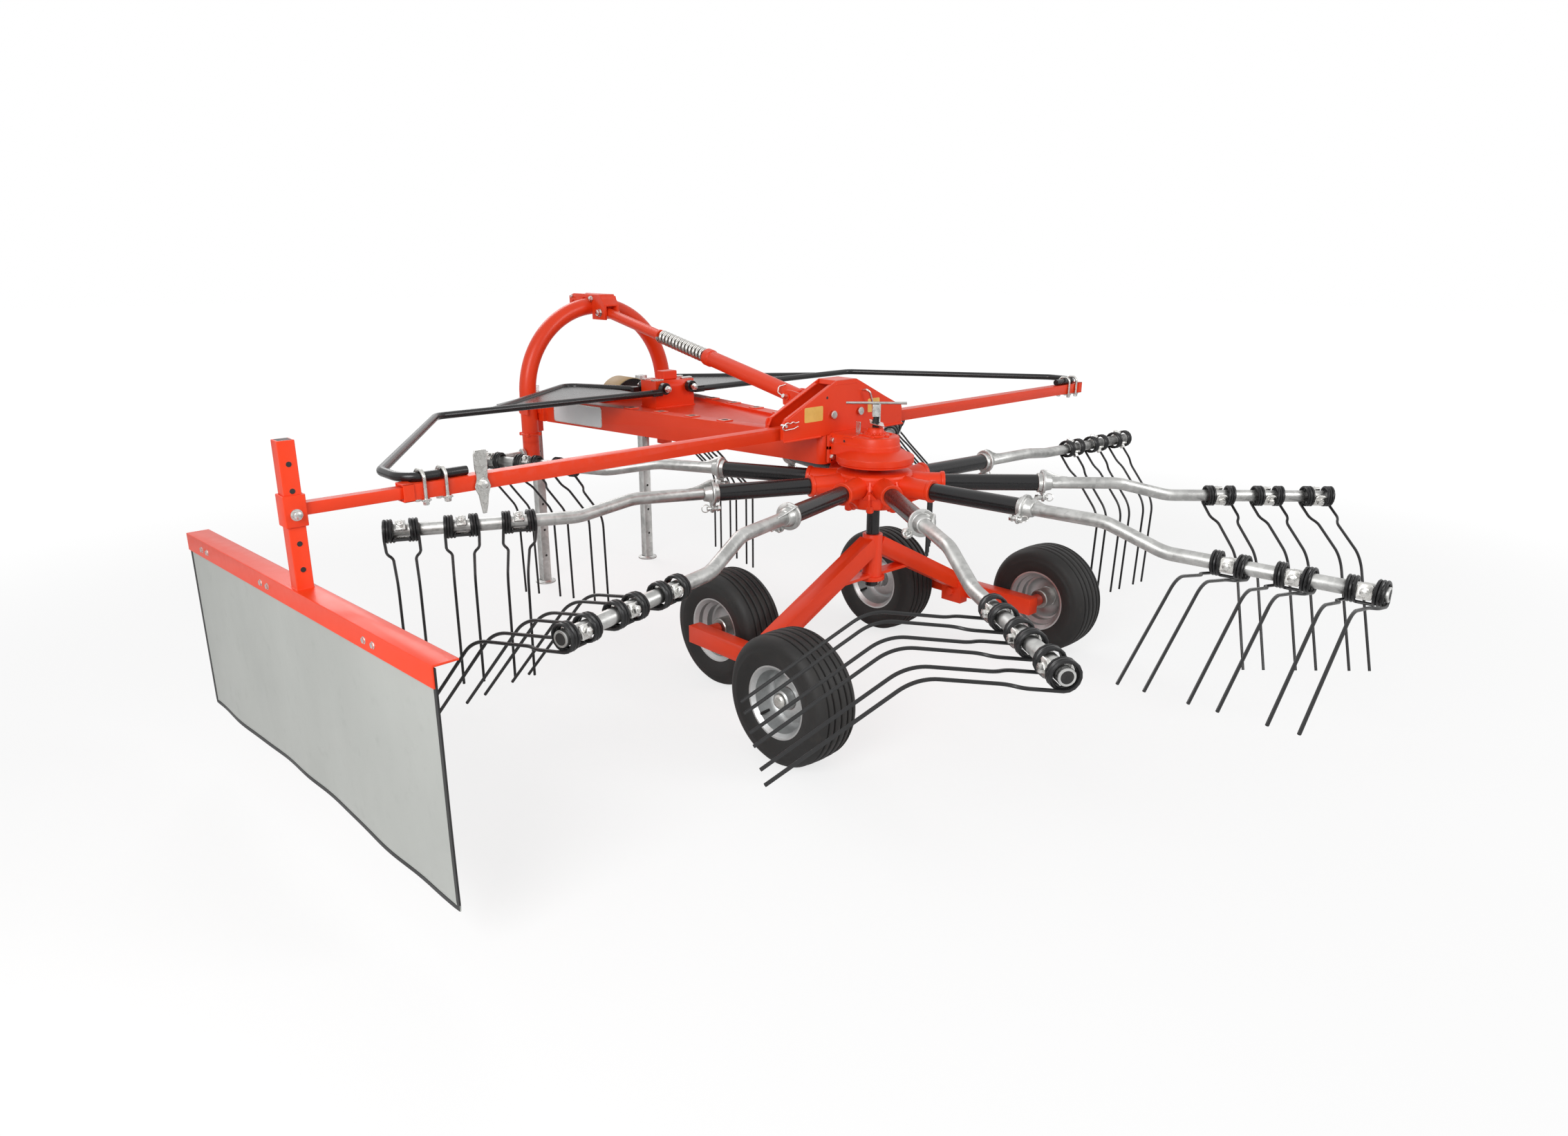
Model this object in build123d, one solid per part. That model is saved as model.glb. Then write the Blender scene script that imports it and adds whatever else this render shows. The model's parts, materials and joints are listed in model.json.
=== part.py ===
from build123d import *
import math
import os

os.makedirs("parts", exist_ok=True)

# Single rotor rotary hay rake for a tractor's three-point linkage.
# Millimetres. While it is modelled, the rotor axis stands at x = y = 0 on the ground z = 0,
# +X is the machine's right side and +Y points forward to the tractor.
# At the end everything is moved so that the origin is below the middle of the whole machine.

# Rotor
arm_count = 9
first_arm_azimuth = 145.4
arm_axis_z = 705.0
tip_radius = 1590.0
hub_radius = 132.0
hub_bottom_z = 622.0
hub_top_z = 748.0
socket_radius = 33.0
socket_end_radius = 240.0
socket_lip_radius = 36.5
socket_lip_length = 12.0
bearing_tube_radius = 28.0
bearing_tube_start = 175.0
bearing_tube_end = 572.0
flange_radius = 42.0
flange_thickness = 10.0
flange_sides = 12
flange_ear_width = 26.0
flange_ear_reach = 64.0
fin_length = 92.0
fin_height = 46.0
fin_thickness = 6.0
socket_sides = 14
arm_tube_radius = 20.0
arm_tube_bore = 15.0
arm_bore_depth = 540.0
bend_start_radius = 835.0
bend_end_radius = 1020.0
bend_offset = 60.0
bend_offset_angle = 61.0
bend_ease = 38.0
arm_sides = 8
# Pitch of each arm about its own axis, in turn from the first arm; 90 is a tine fully down.
arm_pitches = [35.0, 31.0, 64.0, 92.0, 90.0, 90.0, 88.0, 86.0, 50.0]

# Tines
tine_pair_radii = [1537.0, 1367.0, 1200.0]
coil_spacing = 70.0
coil_outer_radius = 36.0
wire_diameter = 9.0
coil_turns = 4
coil_sides = 10
coil_bore_sides = 6
wire_sides = 5
tine_knee_angle = 43.0
tine_upper_length = 305.0
tine_lower_length = 370.0
clamp_thickness = 12.0
clamp_height = 46.0
clamp_bolt = 9.0
clamp_angle = 54.0

# Shaft, column and undercarriage
shaft_radius = 22.5
shaft_clearance = 0.3
shaft_bottom_z = 330.0
column_radius = 35.0
column_bottom_z = 355.0
column_top_z = 520.0
column_ring_radius = 46.0
column_ring_height = 14.0
leg_tube = 60.0
leg_top_z = 482.0
leg_bottom_z = 240.0
brace_width = 50.0
brace_thickness = 10.0
brace_share = 0.45
pivot_block_length = 90.0
pivot_block_height = 86.0
pivot_block_width = 44.0
pivot_pin_radius = 15.0
pin_clearance = 0.3

# Walking beams and wheels
tyre_radius = 203.0
tyre_width = 165.0
rim_flange_radius = 113.0
rim_width = 140.0
rim_seat_radius = 101.0
rim_wall = 4.0
rim_bead = 12.0
rim_disc_y = -6.0
rim_dish = 16.0
wheel_bore_radius = 15.0
hub_barrel_radius = 36.0
hub_length = 96.0
beam_centre_x = 543.0
beam_tube_width = 50.0
beam_tube_height = 60.0
beam_wall = 5.0
axle_offset_y = 293.0
rear_wheel_x = 674.0
front_wheel_x = 413.0
beam_overhang = 32.0
axle_collar_radius = 22.0
pivot_bush_radius = 28.0
side_gap = 6.0

# Main beam
beam_bottom_z = 758.0
beam_top_z = 857.0
beam_front_y = 1600.0
beam_rear_y = 235.0
beam_front_half = 310.0
beam_rear_half = 120.0
beam_sheet = 5.0
beam_flange = 62.0
pan_depth = 12.0
pan_end_y = 1392.0
bulkhead = 8.0
drain_radius = 16.0
drain_y = 700.0
front_box_depth = 90.0
front_box_inset = 2.0
pto_notch_half = 110.0
pto_notch_z = 770.0
nose_rear_y = 138.0
nose_fillet = 28.0
pad_size = 44.0
pad_height = 4.0
pad_hole_radius = 13.0
pad_first_y = 620.0
pad_pitch = 165.0
pad_count = 4

# Tower and side arms
tower_plate = 6.0
tower_depth = 90.0
tower_half = 300.0
tower_shoulder_z = 905.0
tower_corner_z = 930.0
tower_corner_half = 280.0
tower_top_half = 50.0
tower_top_z = 1040.0
fold_pivot_x = 68.0
fold_pivot_z = 926.0
fold_pin_radius = 8.0
fold_boss_radius = 16.0
side_arm_tube = 40.0
side_arm_wall = 4.0
side_arm_z = 880.0
side_arm_end_x = 1580.0

# Guard hoops
guard_radius = 12.5
guard_sides = 8
guard_corner_x = 1040.0
guard_corner_y = 1100.0
guard_elbow_x = 1570.0
guard_elbow_y = 320.0
guard_end_x = 1400.0
guard_brace_x = 250.0
guard_brace_y = 1530.0
guard_merge_x = 820.0
infill_share = 0.72
infill_rise = 115.0
infill_start = 110.0
infill_sheet = 3.0
guard_box_y = 1100.0
guard_box_depth = 100.0
guard_box_half = 98.0
guard_box_top_z = 955.0
guard_eye_radius = 24.0

# Curtain
slide_tube = 30.0
slide_reach_in = 420.0
post_tube = 40.0
post_x = 1842.0
post_top_z = 1045.0
sleeve_wall = 5.0
sleeve_height = 76.0
sleeve_clearance = 0.4
rail_length = 1410.0
rail_middle_y = 215.0
rail_top_z = 690.0
rail_top_width = 60.0
rail_side_height = 50.0
rail_sheet = 5.0
rail_yaw = -2.44
sheet_thickness = 3.0
sheet_low_z = 105.0
sheet_high_z = 165.0

# Headstock
arch_half_span = 360.0
arch_y = 1660.0
arch_tube = 70.0
arch_wall = 6.0
leg_foot_z = 580.0
lower_pin_z = 620.0
lower_pin_radius = 14.0
lower_pin_length = 125.0
lower_pin_collar = 24.0
lower_pin_collar_length = 17.5
top_hole_z = 1240.0
top_hole_rise = 10.0
top_hole_y = 1765.0
top_hole_radius = 12.9
clevis_half_gap = 26.0
clevis_plate = 12.0
clevis_rear_y = 1530.0
clevis_cap = 16.0
clevis_ear = 36.0

# Spring strut
strut_rear_y = 390.0
strut_rear_z = 960.0
strut_front_y = 1565.0
strut_front_drop = 35.0
strut_thick_radius = 30.0
strut_thin_radius = 21.0
spring_radius = 28.5
spring_from_y = 890.0
spring_to_y = 1190.0
strut_pin_radius = 10.0
strut_lug_gap = 62.0
strut_lug = 10.0

# Gearbox, spindle and driveline
disc_radius = 133.0
disc_bottom_z = 768.0
disc_top_z = 799.0
cone_top_z = 820.0
housing_half = 85.0
housing_top_z = 865.0
boss_radius = 30.0
boss_top_z = 893.0
spindle_radius = 12.0
spindle_block = 28.0
turn_bar_z = 974.0
turn_bar_length = 205.0
turn_bar_radius = 4.5
turn_bar_angle = -45.0
input_z = 812.0
input_shaft_radius = 17.45
input_shaft_length = 90.0
hood_radius = 100.0
hood_centre_z = 838.0
hood_length = 110.0
hood_wall = 4.0
hood_gap = 6.0
hood_low_z = 785.0

# Parking stands
stand_inset = 70.0
stand_y = 1735.0
stand_tube = 40.0
stand_top_z = 900.0
stand_sleeve_low_z = 700.0
stand_sleeve_high_z = 868.0
stand_sleeve_wall = 5.0
stand_clearance = 0.4
foot_radius = 45.0
foot_thickness = 8.0


def box_between(low, high):
    size = [h - l for l, h in zip(low, high)]
    centre = [(h + l) / 2 for l, h in zip(low, high)]
    return Pos(*centre) * Box(*size)


def rod(start, end, radius):
    start = Vector(*start)
    end = Vector(*end)
    plane = Plane(origin=start, z_dir=end - start)
    return extrude(plane * Circle(radius), (end - start).length)


def many_sided(radius, sides):
    """A regular section about as large as a circle of this radius."""
    return RegularPolygon(radius, sides, rotation=180 / sides)


def square_bar(start, end, width, height, wall=0.0, across=(0, 1, 0)):
    start = Vector(*start)
    end = Vector(*end)
    plane = Plane(origin=start, x_dir=Vector(*across), z_dir=end - start)
    section = Rectangle(width, height)
    if wall > 0:
        section = section - Rectangle(width - 2 * wall, height - 2 * wall)
    return extrude(plane * section, (end - start).length)


def bent_rod(points, section, bend=0.0):
    """Sweeps a section along straight runs, mitred at the corners or joined by arcs."""
    vectors = [Vector(*p) for p in points]
    if bend > 0:
        path = FilletPolyline(*vectors, radius=bend)
    else:
        path = Polyline(*vectors)
    start = Plane(origin=vectors[0], z_dir=vectors[1] - vectors[0])
    return sweep(start * section, path=path, transition=Transition.RIGHT)


def plate_in_y(outline, y, thickness):
    wire = make_face(Polyline(*[(x, z) for x, z in outline], close=True))
    plane = Plane(origin=(0, y, 0), x_dir=(1, 0, 0), z_dir=(0, -1, 0))
    return Pos(0, thickness, 0) * extrude(plane * wire, thickness)


def plan_prism(half_rear, half_front, y_rear, y_front, z_low, z_high):
    outline = [(-half_rear, y_rear), (half_rear, y_rear), (half_front, y_front), (-half_front, y_front)]
    face = make_face(Polyline(*outline, close=True))
    return Pos(0, 0, z_low) * extrude(face, z_high - z_low)


def on_arm(index, shape):
    """Places a shape drawn with x along the arm and its tines trailing towards -Y."""
    azimuth = first_arm_azimuth + index * 360.0 / arm_count
    turn = Rot(0, 0, azimuth + 90.0)
    return turn * Pos(0, 0, arm_axis_z) * Rot(arm_pitches[index], 0, 0) * shape


def bend_vector(length, angle):
    """A step in the plane across the arm: angle 0 trails, 90 points down at no pitch."""
    rad = math.radians(angle)
    return (-length * math.cos(rad), -length * math.sin(rad))


# Places that follow from the sizes above
tower_rear_y = nose_rear_y
fold_middle_y = tower_rear_y + tower_depth / 2
input_face_y = pan_end_y + bulkhead
front_box_y = beam_front_y + front_box_depth
tower_clear = 1.0
arch_centre_z = top_hole_z - top_hole_rise - arch_half_span
arch_top_z = top_hole_z - top_hole_rise + arch_tube / 2
strut_front_z = top_hole_z - strut_front_drop
lower_pin_shoulder = arch_half_span + arch_tube / 2 + lower_pin_collar_length
stand_x = arch_half_span - stand_inset


# Rotor pieces
coil_axis_y, coil_axis_z = bend_vector(bend_offset, bend_offset_angle)
coil_inner_radius = coil_outer_radius - wire_diameter
coil_mean_radius = coil_outer_radius - wire_diameter / 2
coil_width = coil_turns * wire_diameter


def along_x(start, end, radius):
    """A many-sided bar on the arm's own axis."""
    plane = Plane(origin=(start, 0, 0), x_dir=(0, 1, 0), z_dir=(1, 0, 0))
    return extrude(plane * many_sided(radius, socket_sides), end - start)


def make_rotor_hub():
    body = Pos(0, 0, hub_bottom_z) * Cylinder(
        hub_radius, hub_top_z - hub_bottom_z, align=(Align.CENTER, Align.CENTER, Align.MIN))
    body = chamfer(body.edges().filter_by(GeomType.CIRCLE), 14)
    for index in range(arm_count):
        azimuth = first_arm_azimuth + index * 360.0 / arm_count + 90.0
        turn = Rot(0, 0, azimuth)
        socket = along_x(hub_radius * 0.6, socket_end_radius, socket_radius)
        lip = along_x(socket_end_radius - socket_lip_length, socket_end_radius, socket_lip_radius)
        body = body + turn * Pos(0, 0, arm_axis_z) * (socket + lip)
    for index in range(arm_count):
        body = body - on_arm(index, along_x(bearing_tube_start, socket_end_radius + 1, bearing_tube_radius))
    shaft_hole = Pos(0, 0, hub_bottom_z - 1) * Cylinder(
        shaft_radius + shaft_clearance, hub_top_z - hub_bottom_z + 2,
        align=(Align.CENTER, Align.CENTER, Align.MIN))
    return body - shaft_hole


def make_bearing_tube():
    return along_x(bearing_tube_start, bearing_tube_end, bearing_tube_radius)


def make_arm_flange():
    """Plate on the end of the bearing tube, with an ear for its locking bolt and a fin on the far side."""
    plane = Plane(origin=(bearing_tube_end, 0, 0), x_dir=(0, 1, 0), z_dir=(1, 0, 0))
    section = many_sided(flange_radius, flange_sides)
    ear = Pos(0, -flange_ear_reach / 2) * Rectangle(flange_ear_width, flange_ear_reach)
    foot = arm_tube_radius
    end = bearing_tube_end + flange_thickness
    outline = make_face(Polyline((bearing_tube_end, foot), (end + fin_length, foot), (end, fin_height),
                                 (bearing_tube_end, fin_height), close=True))
    fin = Pos(0, 0, -fin_thickness / 2) * extrude(outline, fin_thickness)
    return extrude(plane * (section + ear), flange_thickness) + fin


def make_tine_arm():
    """Straight tube with an S-bend that carries the tine end below the arm's own axis."""
    start = bearing_tube_end + flange_thickness
    ease = bend_ease
    share = ease / (bend_end_radius - bend_start_radius)
    points = [
        (start, 0, 0),
        (bend_start_radius - ease, 0, 0),
        (bend_start_radius + ease, coil_axis_y * share, coil_axis_z * share),
        (bend_end_radius - ease, coil_axis_y * (1 - share), coil_axis_z * (1 - share)),
        (bend_end_radius + ease, coil_axis_y, coil_axis_z),
        (tip_radius, coil_axis_y, coil_axis_z),
    ]
    arm = bent_rod(points, many_sided(arm_tube_radius, arm_sides))
    plane = Plane(origin=(tip_radius, coil_axis_y, coil_axis_z), z_dir=(-1, 0, 0))
    return arm - extrude(plane * many_sided(arm_tube_bore, arm_sides), arm_bore_depth)


def make_tine(radius):
    """One coil with its leg, the coil centred at this radius along the arm."""
    start_y, start_z = bend_vector(coil_mean_radius, 90.0 - tine_knee_angle)
    knee_y, knee_z = bend_vector(tine_upper_length, -tine_knee_angle)
    end_y, end_z = bend_vector(tine_lower_length, 0.0)
    plane = Plane(origin=(radius - coil_width / 2, coil_axis_y, coil_axis_z), z_dir=(1, 0, 0))
    ring = many_sided(coil_outer_radius, coil_sides) - many_sided(coil_inner_radius, coil_bore_sides)
    coil = extrude(plane * ring, coil_width)
    first = (radius, coil_axis_y + start_y, coil_axis_z + start_z)
    knee = (radius, first[1] + knee_y, first[2] + knee_z)
    tip = (radius, knee[1] + end_y, knee[2] + end_z)
    return coil + bent_rod([first, knee, tip], many_sided(wire_diameter / 2, wire_sides))


def make_tine_clamp(radius):
    """Plate across the arm between the two coils of a pair, with its bolt head."""
    size = coil_spacing - coil_width
    plate = Pos(0, 0, arm_tube_radius + clamp_thickness / 2) * Box(size, clamp_height, clamp_thickness)
    head = Pos(0, 0, arm_tube_radius + clamp_thickness) * extrude(many_sided(clamp_bolt, 6), clamp_bolt)
    return Pos(radius, coil_axis_y, coil_axis_z) * Rot(clamp_angle, 0, 0) * (plate + head)


def make_rotor():
    tubes = []
    flanges = []
    arms = []
    tines = []
    clamps = []
    for index in range(arm_count):
        tubes.append(on_arm(index, make_bearing_tube()))
        flanges.append(on_arm(index, make_arm_flange()))
        arms.append(on_arm(index, make_tine_arm()))
        for middle in tine_pair_radii:
            for side in (-0.5, 0.5):
                tines.append(on_arm(index, make_tine(middle + side * coil_spacing)))
            clamps.append(on_arm(index, make_tine_clamp(middle)))
    return {
        "rotor_hub": make_rotor_hub(),
        "arm_bearing_tubes": Compound(tubes),
        "arm_flanges": Compound(flanges),
        "tine_arms": Compound(arms),
        "tines": Compound(tines),
        "tine_clamps": Compound(clamps),
    }


# Undercarriage
def make_undercarriage():
    column = rod((0, 0, column_bottom_z), (0, 0, column_top_z), column_radius)
    ring = rod((0, 0, column_bottom_z), (0, 0, column_bottom_z + column_ring_height), column_ring_radius)
    body = column + ring
    block_outer = beam_centre_x - beam_tube_width / 2 - side_gap / 2
    block_inner = block_outer - pivot_block_width
    pivot_z = tyre_radius
    for side in (-1, 1):
        leg = square_bar((side * column_radius * 0.5, 0, leg_top_z), (side * (block_inner + 20), 0, leg_bottom_z),
                         leg_tube, leg_tube)
        block = box_between(
            (min(side * block_inner, side * block_outer), -pivot_block_length / 2, pivot_z - pivot_block_height / 2),
            (max(side * block_inner, side * block_outer), pivot_block_length / 2, pivot_z + pivot_block_height / 2))
        share_x = column_radius + (block_inner - column_radius) * brace_share
        share_z = leg_top_z + (leg_bottom_z - leg_top_z) * brace_share
        brace = square_bar((side * column_radius * 0.5, 0, column_bottom_z + 20), (side * share_x, 0, share_z),
                           brace_width, brace_thickness)
        pin = rod((side * (block_inner - 14), 0, pivot_z),
                  (side * (beam_centre_x + beam_tube_width / 2 + 12), 0, pivot_z), pivot_pin_radius)
        body = body + leg + block + brace + pin
    bore = rod((0, 0, column_bottom_z - 1), (0, 0, column_top_z + 1), shaft_radius)
    return body - bore


def make_column_shaft():
    return rod((0, 0, shaft_bottom_z), (0, 0, disc_bottom_z), shaft_radius)


def make_walking_beam(side):
    """Tube along Y with a stub axle outwards at the rear and inwards at the front."""
    half = axle_offset_y + beam_overhang
    z = tyre_radius
    beam = square_bar((side * beam_centre_x, -half, z), (side * beam_centre_x, half, z),
                      beam_tube_width, beam_tube_height, beam_wall, across=(1, 0, 0))
    for y in (-half, half - beam_wall):
        beam = beam + box_between((side * beam_centre_x - beam_tube_width / 2, y, z - beam_tube_height / 2),
                                  (side * beam_centre_x + beam_tube_width / 2, y + beam_wall,
                                   z + beam_tube_height / 2))
    beam = beam + rod((side * (beam_centre_x - beam_tube_width / 2), 0, z),
                      (side * (beam_centre_x + beam_tube_width / 2), 0, z), pivot_bush_radius)
    hole = rod((side * (beam_centre_x - beam_tube_width), 0, z),
               (side * (beam_centre_x + beam_tube_width), 0, z), pivot_pin_radius + pin_clearance)
    body = beam - hole
    for y, wheel_x in ((-axle_offset_y, rear_wheel_x), (axle_offset_y, front_wheel_x)):
        way = 1 if wheel_x > beam_centre_x else -1
        axle_end = wheel_x + way * (rim_width / 2 - 40)
        face = beam_centre_x + way * (beam_tube_width / 2 - beam_wall)
        stub = rod((side * face, y, z), (side * axle_end, y, z), wheel_bore_radius - pin_clearance)
        collar_end = wheel_x - way * (hub_length / 2 + side_gap / 2)
        collar = rod((side * face, y, z), (side * collar_end, y, z), axle_collar_radius)
        body = body + stub + collar
    return body


def make_tyre(x, y):
    half = tyre_width / 2
    shoulder = tyre_radius - 16
    outline = [
        (rim_seat_radius, -rim_width / 2 + rim_bead),
        (rim_flange_radius, -rim_width / 2 + rim_wall),
        (rim_flange_radius + 16, -half + 5),
        ((rim_flange_radius + tyre_radius) / 2 + 6, -half),
        (shoulder, -half + 14),
        (tyre_radius, -half + 40),
        (tyre_radius, half - 40),
        (shoulder, half - 14),
        ((rim_flange_radius + tyre_radius) / 2 + 6, half),
        (rim_flange_radius + 16, half - 5),
        (rim_flange_radius, rim_width / 2 - rim_wall),
        (rim_seat_radius, rim_width / 2 - rim_bead),
    ]
    face = make_face(Polyline(*outline, close=True))
    solid = revolve(Plane.XY * face, axis=Axis.Y)
    return Pos(x, y, tyre_radius) * Rot(0, 0, 90) * solid


def make_rim(x, y, way):
    """Dished disc wheel with a drop centre and a hub barrel."""
    half = rim_width / 2
    outline = [
        (rim_flange_radius, -half),
        (rim_flange_radius, -half + rim_wall),
        (rim_seat_radius, -half + rim_bead),
        (rim_seat_radius, half - rim_bead),
        (rim_flange_radius, half - rim_wall),
        (rim_flange_radius, half),
        (rim_seat_radius - rim_wall, half - rim_bead + rim_wall),
        (rim_seat_radius - rim_wall, rim_disc_y + rim_wall),
        (hub_barrel_radius, rim_disc_y + rim_dish + rim_wall),
        (hub_barrel_radius, hub_length / 2),
        (wheel_bore_radius, hub_length / 2),
        (wheel_bore_radius, -hub_length / 2),
        (hub_barrel_radius, -hub_length / 2),
        (hub_barrel_radius, rim_disc_y + rim_dish),
        (rim_seat_radius - rim_wall, rim_disc_y),
        (rim_seat_radius - rim_wall, -half + rim_bead - rim_wall),
    ]
    face = make_face(Polyline(*outline, close=True))
    solid = revolve(Plane.XY * face, axis=Axis.Y)
    return Pos(x, y, tyre_radius) * Rot(0, 0, -90 * way) * solid


# Main beam and tower
def half_at(y):
    share = (y - beam_rear_y) / (beam_front_y - beam_rear_y)
    return beam_rear_half + (beam_front_half - beam_rear_half) * share


def make_main_beam():
    """Folded box beam that widens to the front, with a shallow pan between its two top flanges,
    a bay for the drive shaft, a front cross box for the headstock and a closed nose at the gearbox."""
    pan_top = beam_top_z - pan_depth
    front = beam_front_y
    rear = beam_rear_y
    inner_rear = beam_rear_half - beam_flange
    inner_front = beam_front_half - beam_flange
    outer = plan_prism(beam_rear_half, beam_front_half, rear, front, beam_bottom_z, beam_top_z)
    pan = plan_prism(inner_rear, inner_front, rear, front, pan_top, beam_top_z + 1)
    inside = plan_prism(beam_rear_half - beam_sheet, beam_front_half - beam_sheet, rear, front,
                        beam_bottom_z + beam_sheet, pan_top - beam_sheet)
    under_flange = plan_prism(beam_rear_half - beam_sheet, beam_front_half - beam_sheet, rear, front,
                              pan_top - beam_sheet, beam_top_z - beam_sheet)
    under_flange = under_flange - plan_prism(inner_rear + beam_sheet, inner_front + beam_sheet, rear, front,
                                             pan_top - beam_sheet, beam_top_z)
    body = outer - pan - inside - under_flange
    bay = plan_prism(half_at(pan_end_y) - beam_flange, inner_front, pan_end_y, front,
                     beam_bottom_z + beam_sheet, beam_top_z + 1)
    wall_half = half_at(pan_end_y) - beam_sheet / 2
    wall = box_between((-wall_half, pan_end_y, beam_bottom_z + 1), (wall_half, input_face_y, beam_top_z - 1))
    drain = rod((0, drain_y, beam_bottom_z - 1), (0, drain_y, beam_bottom_z + beam_sheet + 1), drain_radius)
    body = body - bay + wall - drain
    box_half = arch_half_span - arch_tube / 2
    cross = box_between((-box_half, front, beam_bottom_z + front_box_inset),
                        (box_half, front_box_y, beam_top_z - front_box_inset))
    notch = box_between((-pto_notch_half, front - 1, pto_notch_z), (pto_notch_half, front_box_y + 1, beam_top_z))
    nose = box_between((-beam_rear_half, nose_rear_y, beam_bottom_z), (beam_rear_half, rear, beam_top_z))
    nose = fillet(nose.edges().filter_by(Axis.Z).group_by(Axis.Y)[0], nose_fillet)
    body = body + (cross - notch) + nose
    for step in range(pad_count):
        y = pad_first_y + step * pad_pitch
        for side in (-1, 1):
            x = side * (half_at(y) - beam_flange / 2)
            pad = Pos(x, y, beam_top_z) * Box(pad_size, pad_size, 2 * pad_height)
            body = body + pad
            body = body - Pos(x, y, beam_top_z) * Cylinder(pad_hole_radius, 4 * beam_sheet)
    return body


def make_tower():
    outline = [
        (-tower_half, beam_top_z), (tower_half, beam_top_z), (tower_half, tower_shoulder_z),
        (tower_corner_half, tower_corner_z), (tower_top_half, tower_top_z), (-tower_top_half, tower_top_z),
        (-tower_corner_half, tower_corner_z), (-tower_half, tower_shoulder_z),
    ]
    rear = plate_in_y(outline, tower_rear_y, tower_plate)
    front = plate_in_y(outline, tower_rear_y + tower_depth - tower_plate, tower_plate)
    cap = box_between((-tower_top_half, tower_rear_y, tower_top_z - tower_plate),
                      (tower_top_half, tower_rear_y + tower_depth, tower_top_z))
    body = rear + front + cap
    for side in (-1, 1):
        body = body + rod((side * fold_pivot_x, tower_rear_y - 8, fold_pivot_z),
                          (side * fold_pivot_x, tower_rear_y + tower_depth + 8, fold_pivot_z), fold_pin_radius)
        lug_x = side * (strut_lug_gap / 2 + strut_lug / 2)
        lug = box_between((lug_x - strut_lug / 2, tower_rear_y + tower_depth, strut_rear_z - 60),
                          (lug_x + strut_lug / 2, strut_rear_y + 24, strut_rear_z + 24))
        body = body + lug
    pin = rod((-strut_lug_gap / 2 - strut_lug - 6, strut_rear_y, strut_rear_z),
              (strut_lug_gap / 2 + strut_lug + 6, strut_rear_y, strut_rear_z), strut_pin_radius)
    return body + pin


def make_side_arm(side):
    """Square tube that folds up about a pin between the two tower plates."""
    middle_y = fold_middle_y
    tube = square_bar((side * fold_pivot_x, middle_y, side_arm_z), (side * side_arm_end_x, middle_y, side_arm_z),
                      side_arm_tube, side_arm_tube, side_arm_wall)
    lug = box_between((min(side * (fold_pivot_x - 16), side * (fold_pivot_x + 60)), middle_y - side_arm_tube / 2,
                       side_arm_z + side_arm_tube / 2),
                      (max(side * (fold_pivot_x - 16), side * (fold_pivot_x + 60)), middle_y + side_arm_tube / 2,
                       fold_pivot_z + 16))
    boss_half = tower_depth / 2 - tower_plate - tower_clear
    boss = rod((side * fold_pivot_x, middle_y - boss_half, fold_pivot_z),
               (side * fold_pivot_x, middle_y + boss_half, fold_pivot_z), fold_boss_radius)
    hole = rod((side * fold_pivot_x, middle_y - tower_depth, fold_pivot_z),
               (side * fold_pivot_x, middle_y + tower_depth, fold_pivot_z), fold_pin_radius + pin_clearance)
    return tube + lug + boss - hole


def make_guard_hoop(side):
    """Round tube hoop with its forward brace and the sheet between them."""
    z = side_arm_z + side_arm_tube / 2 + guard_radius
    middle_y = fold_middle_y
    eye_rear = guard_box_y - guard_radius - side_gap
    eye_front = guard_box_y + guard_box_depth + guard_radius + side_gap
    start_x = side * (fold_pivot_x + 18)
    main = bent_rod([
        (start_x, eye_rear, z), (side * guard_corner_x, guard_corner_y, z),
        (side * guard_elbow_x, guard_elbow_y, z), (side * guard_elbow_x, middle_y, z),
        (side * guard_end_x, middle_y, z)], many_sided(guard_radius, guard_sides))
    brace = bent_rod([
        (start_x, eye_front, z), (side * guard_brace_x, guard_brace_y, z),
        (side * guard_merge_x, guard_corner_y, z)], many_sided(guard_radius, guard_sides))
    body = main + brace
    for y in (eye_rear, eye_front):
        eye = rod((side * fold_pivot_x, y - guard_radius, fold_pivot_z),
                  (side * fold_pivot_x, y + guard_radius, fold_pivot_z), guard_eye_radius)
        body = body + eye
    infill = [
        (side * (fold_pivot_x + infill_start), eye_front + infill_start / 3), (side * guard_brace_x, guard_brace_y),
        (side * guard_merge_x * infill_share, guard_corner_y + infill_rise),
        (side * guard_merge_x * infill_share, guard_corner_y), (side * (fold_pivot_x + infill_start), eye_rear)]
    face = make_face(Polyline(*infill, close=True))
    body = body + Pos(0, 0, z - infill_sheet / 2) * extrude(face, infill_sheet)
    for y in (eye_rear, eye_front):
        hole = rod((side * fold_pivot_x, y - 2 * guard_radius, fold_pivot_z),
                   (side * fold_pivot_x, y + 2 * guard_radius, fold_pivot_z), fold_pin_radius + pin_clearance)
        body = body - hole
    return body


def make_guard_box():
    box = box_between((-guard_box_half, guard_box_y, beam_top_z - pan_depth),
                      (guard_box_half, guard_box_y + guard_box_depth, guard_box_top_z))
    for side in (-1, 1):
        reach = 2 * guard_radius + side_gap + 6
        box = box + rod((side * fold_pivot_x, guard_box_y - reach, fold_pivot_z),
                        (side * fold_pivot_x, guard_box_y + guard_box_depth + reach, fold_pivot_z),
                        fold_pin_radius)
    return box


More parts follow.
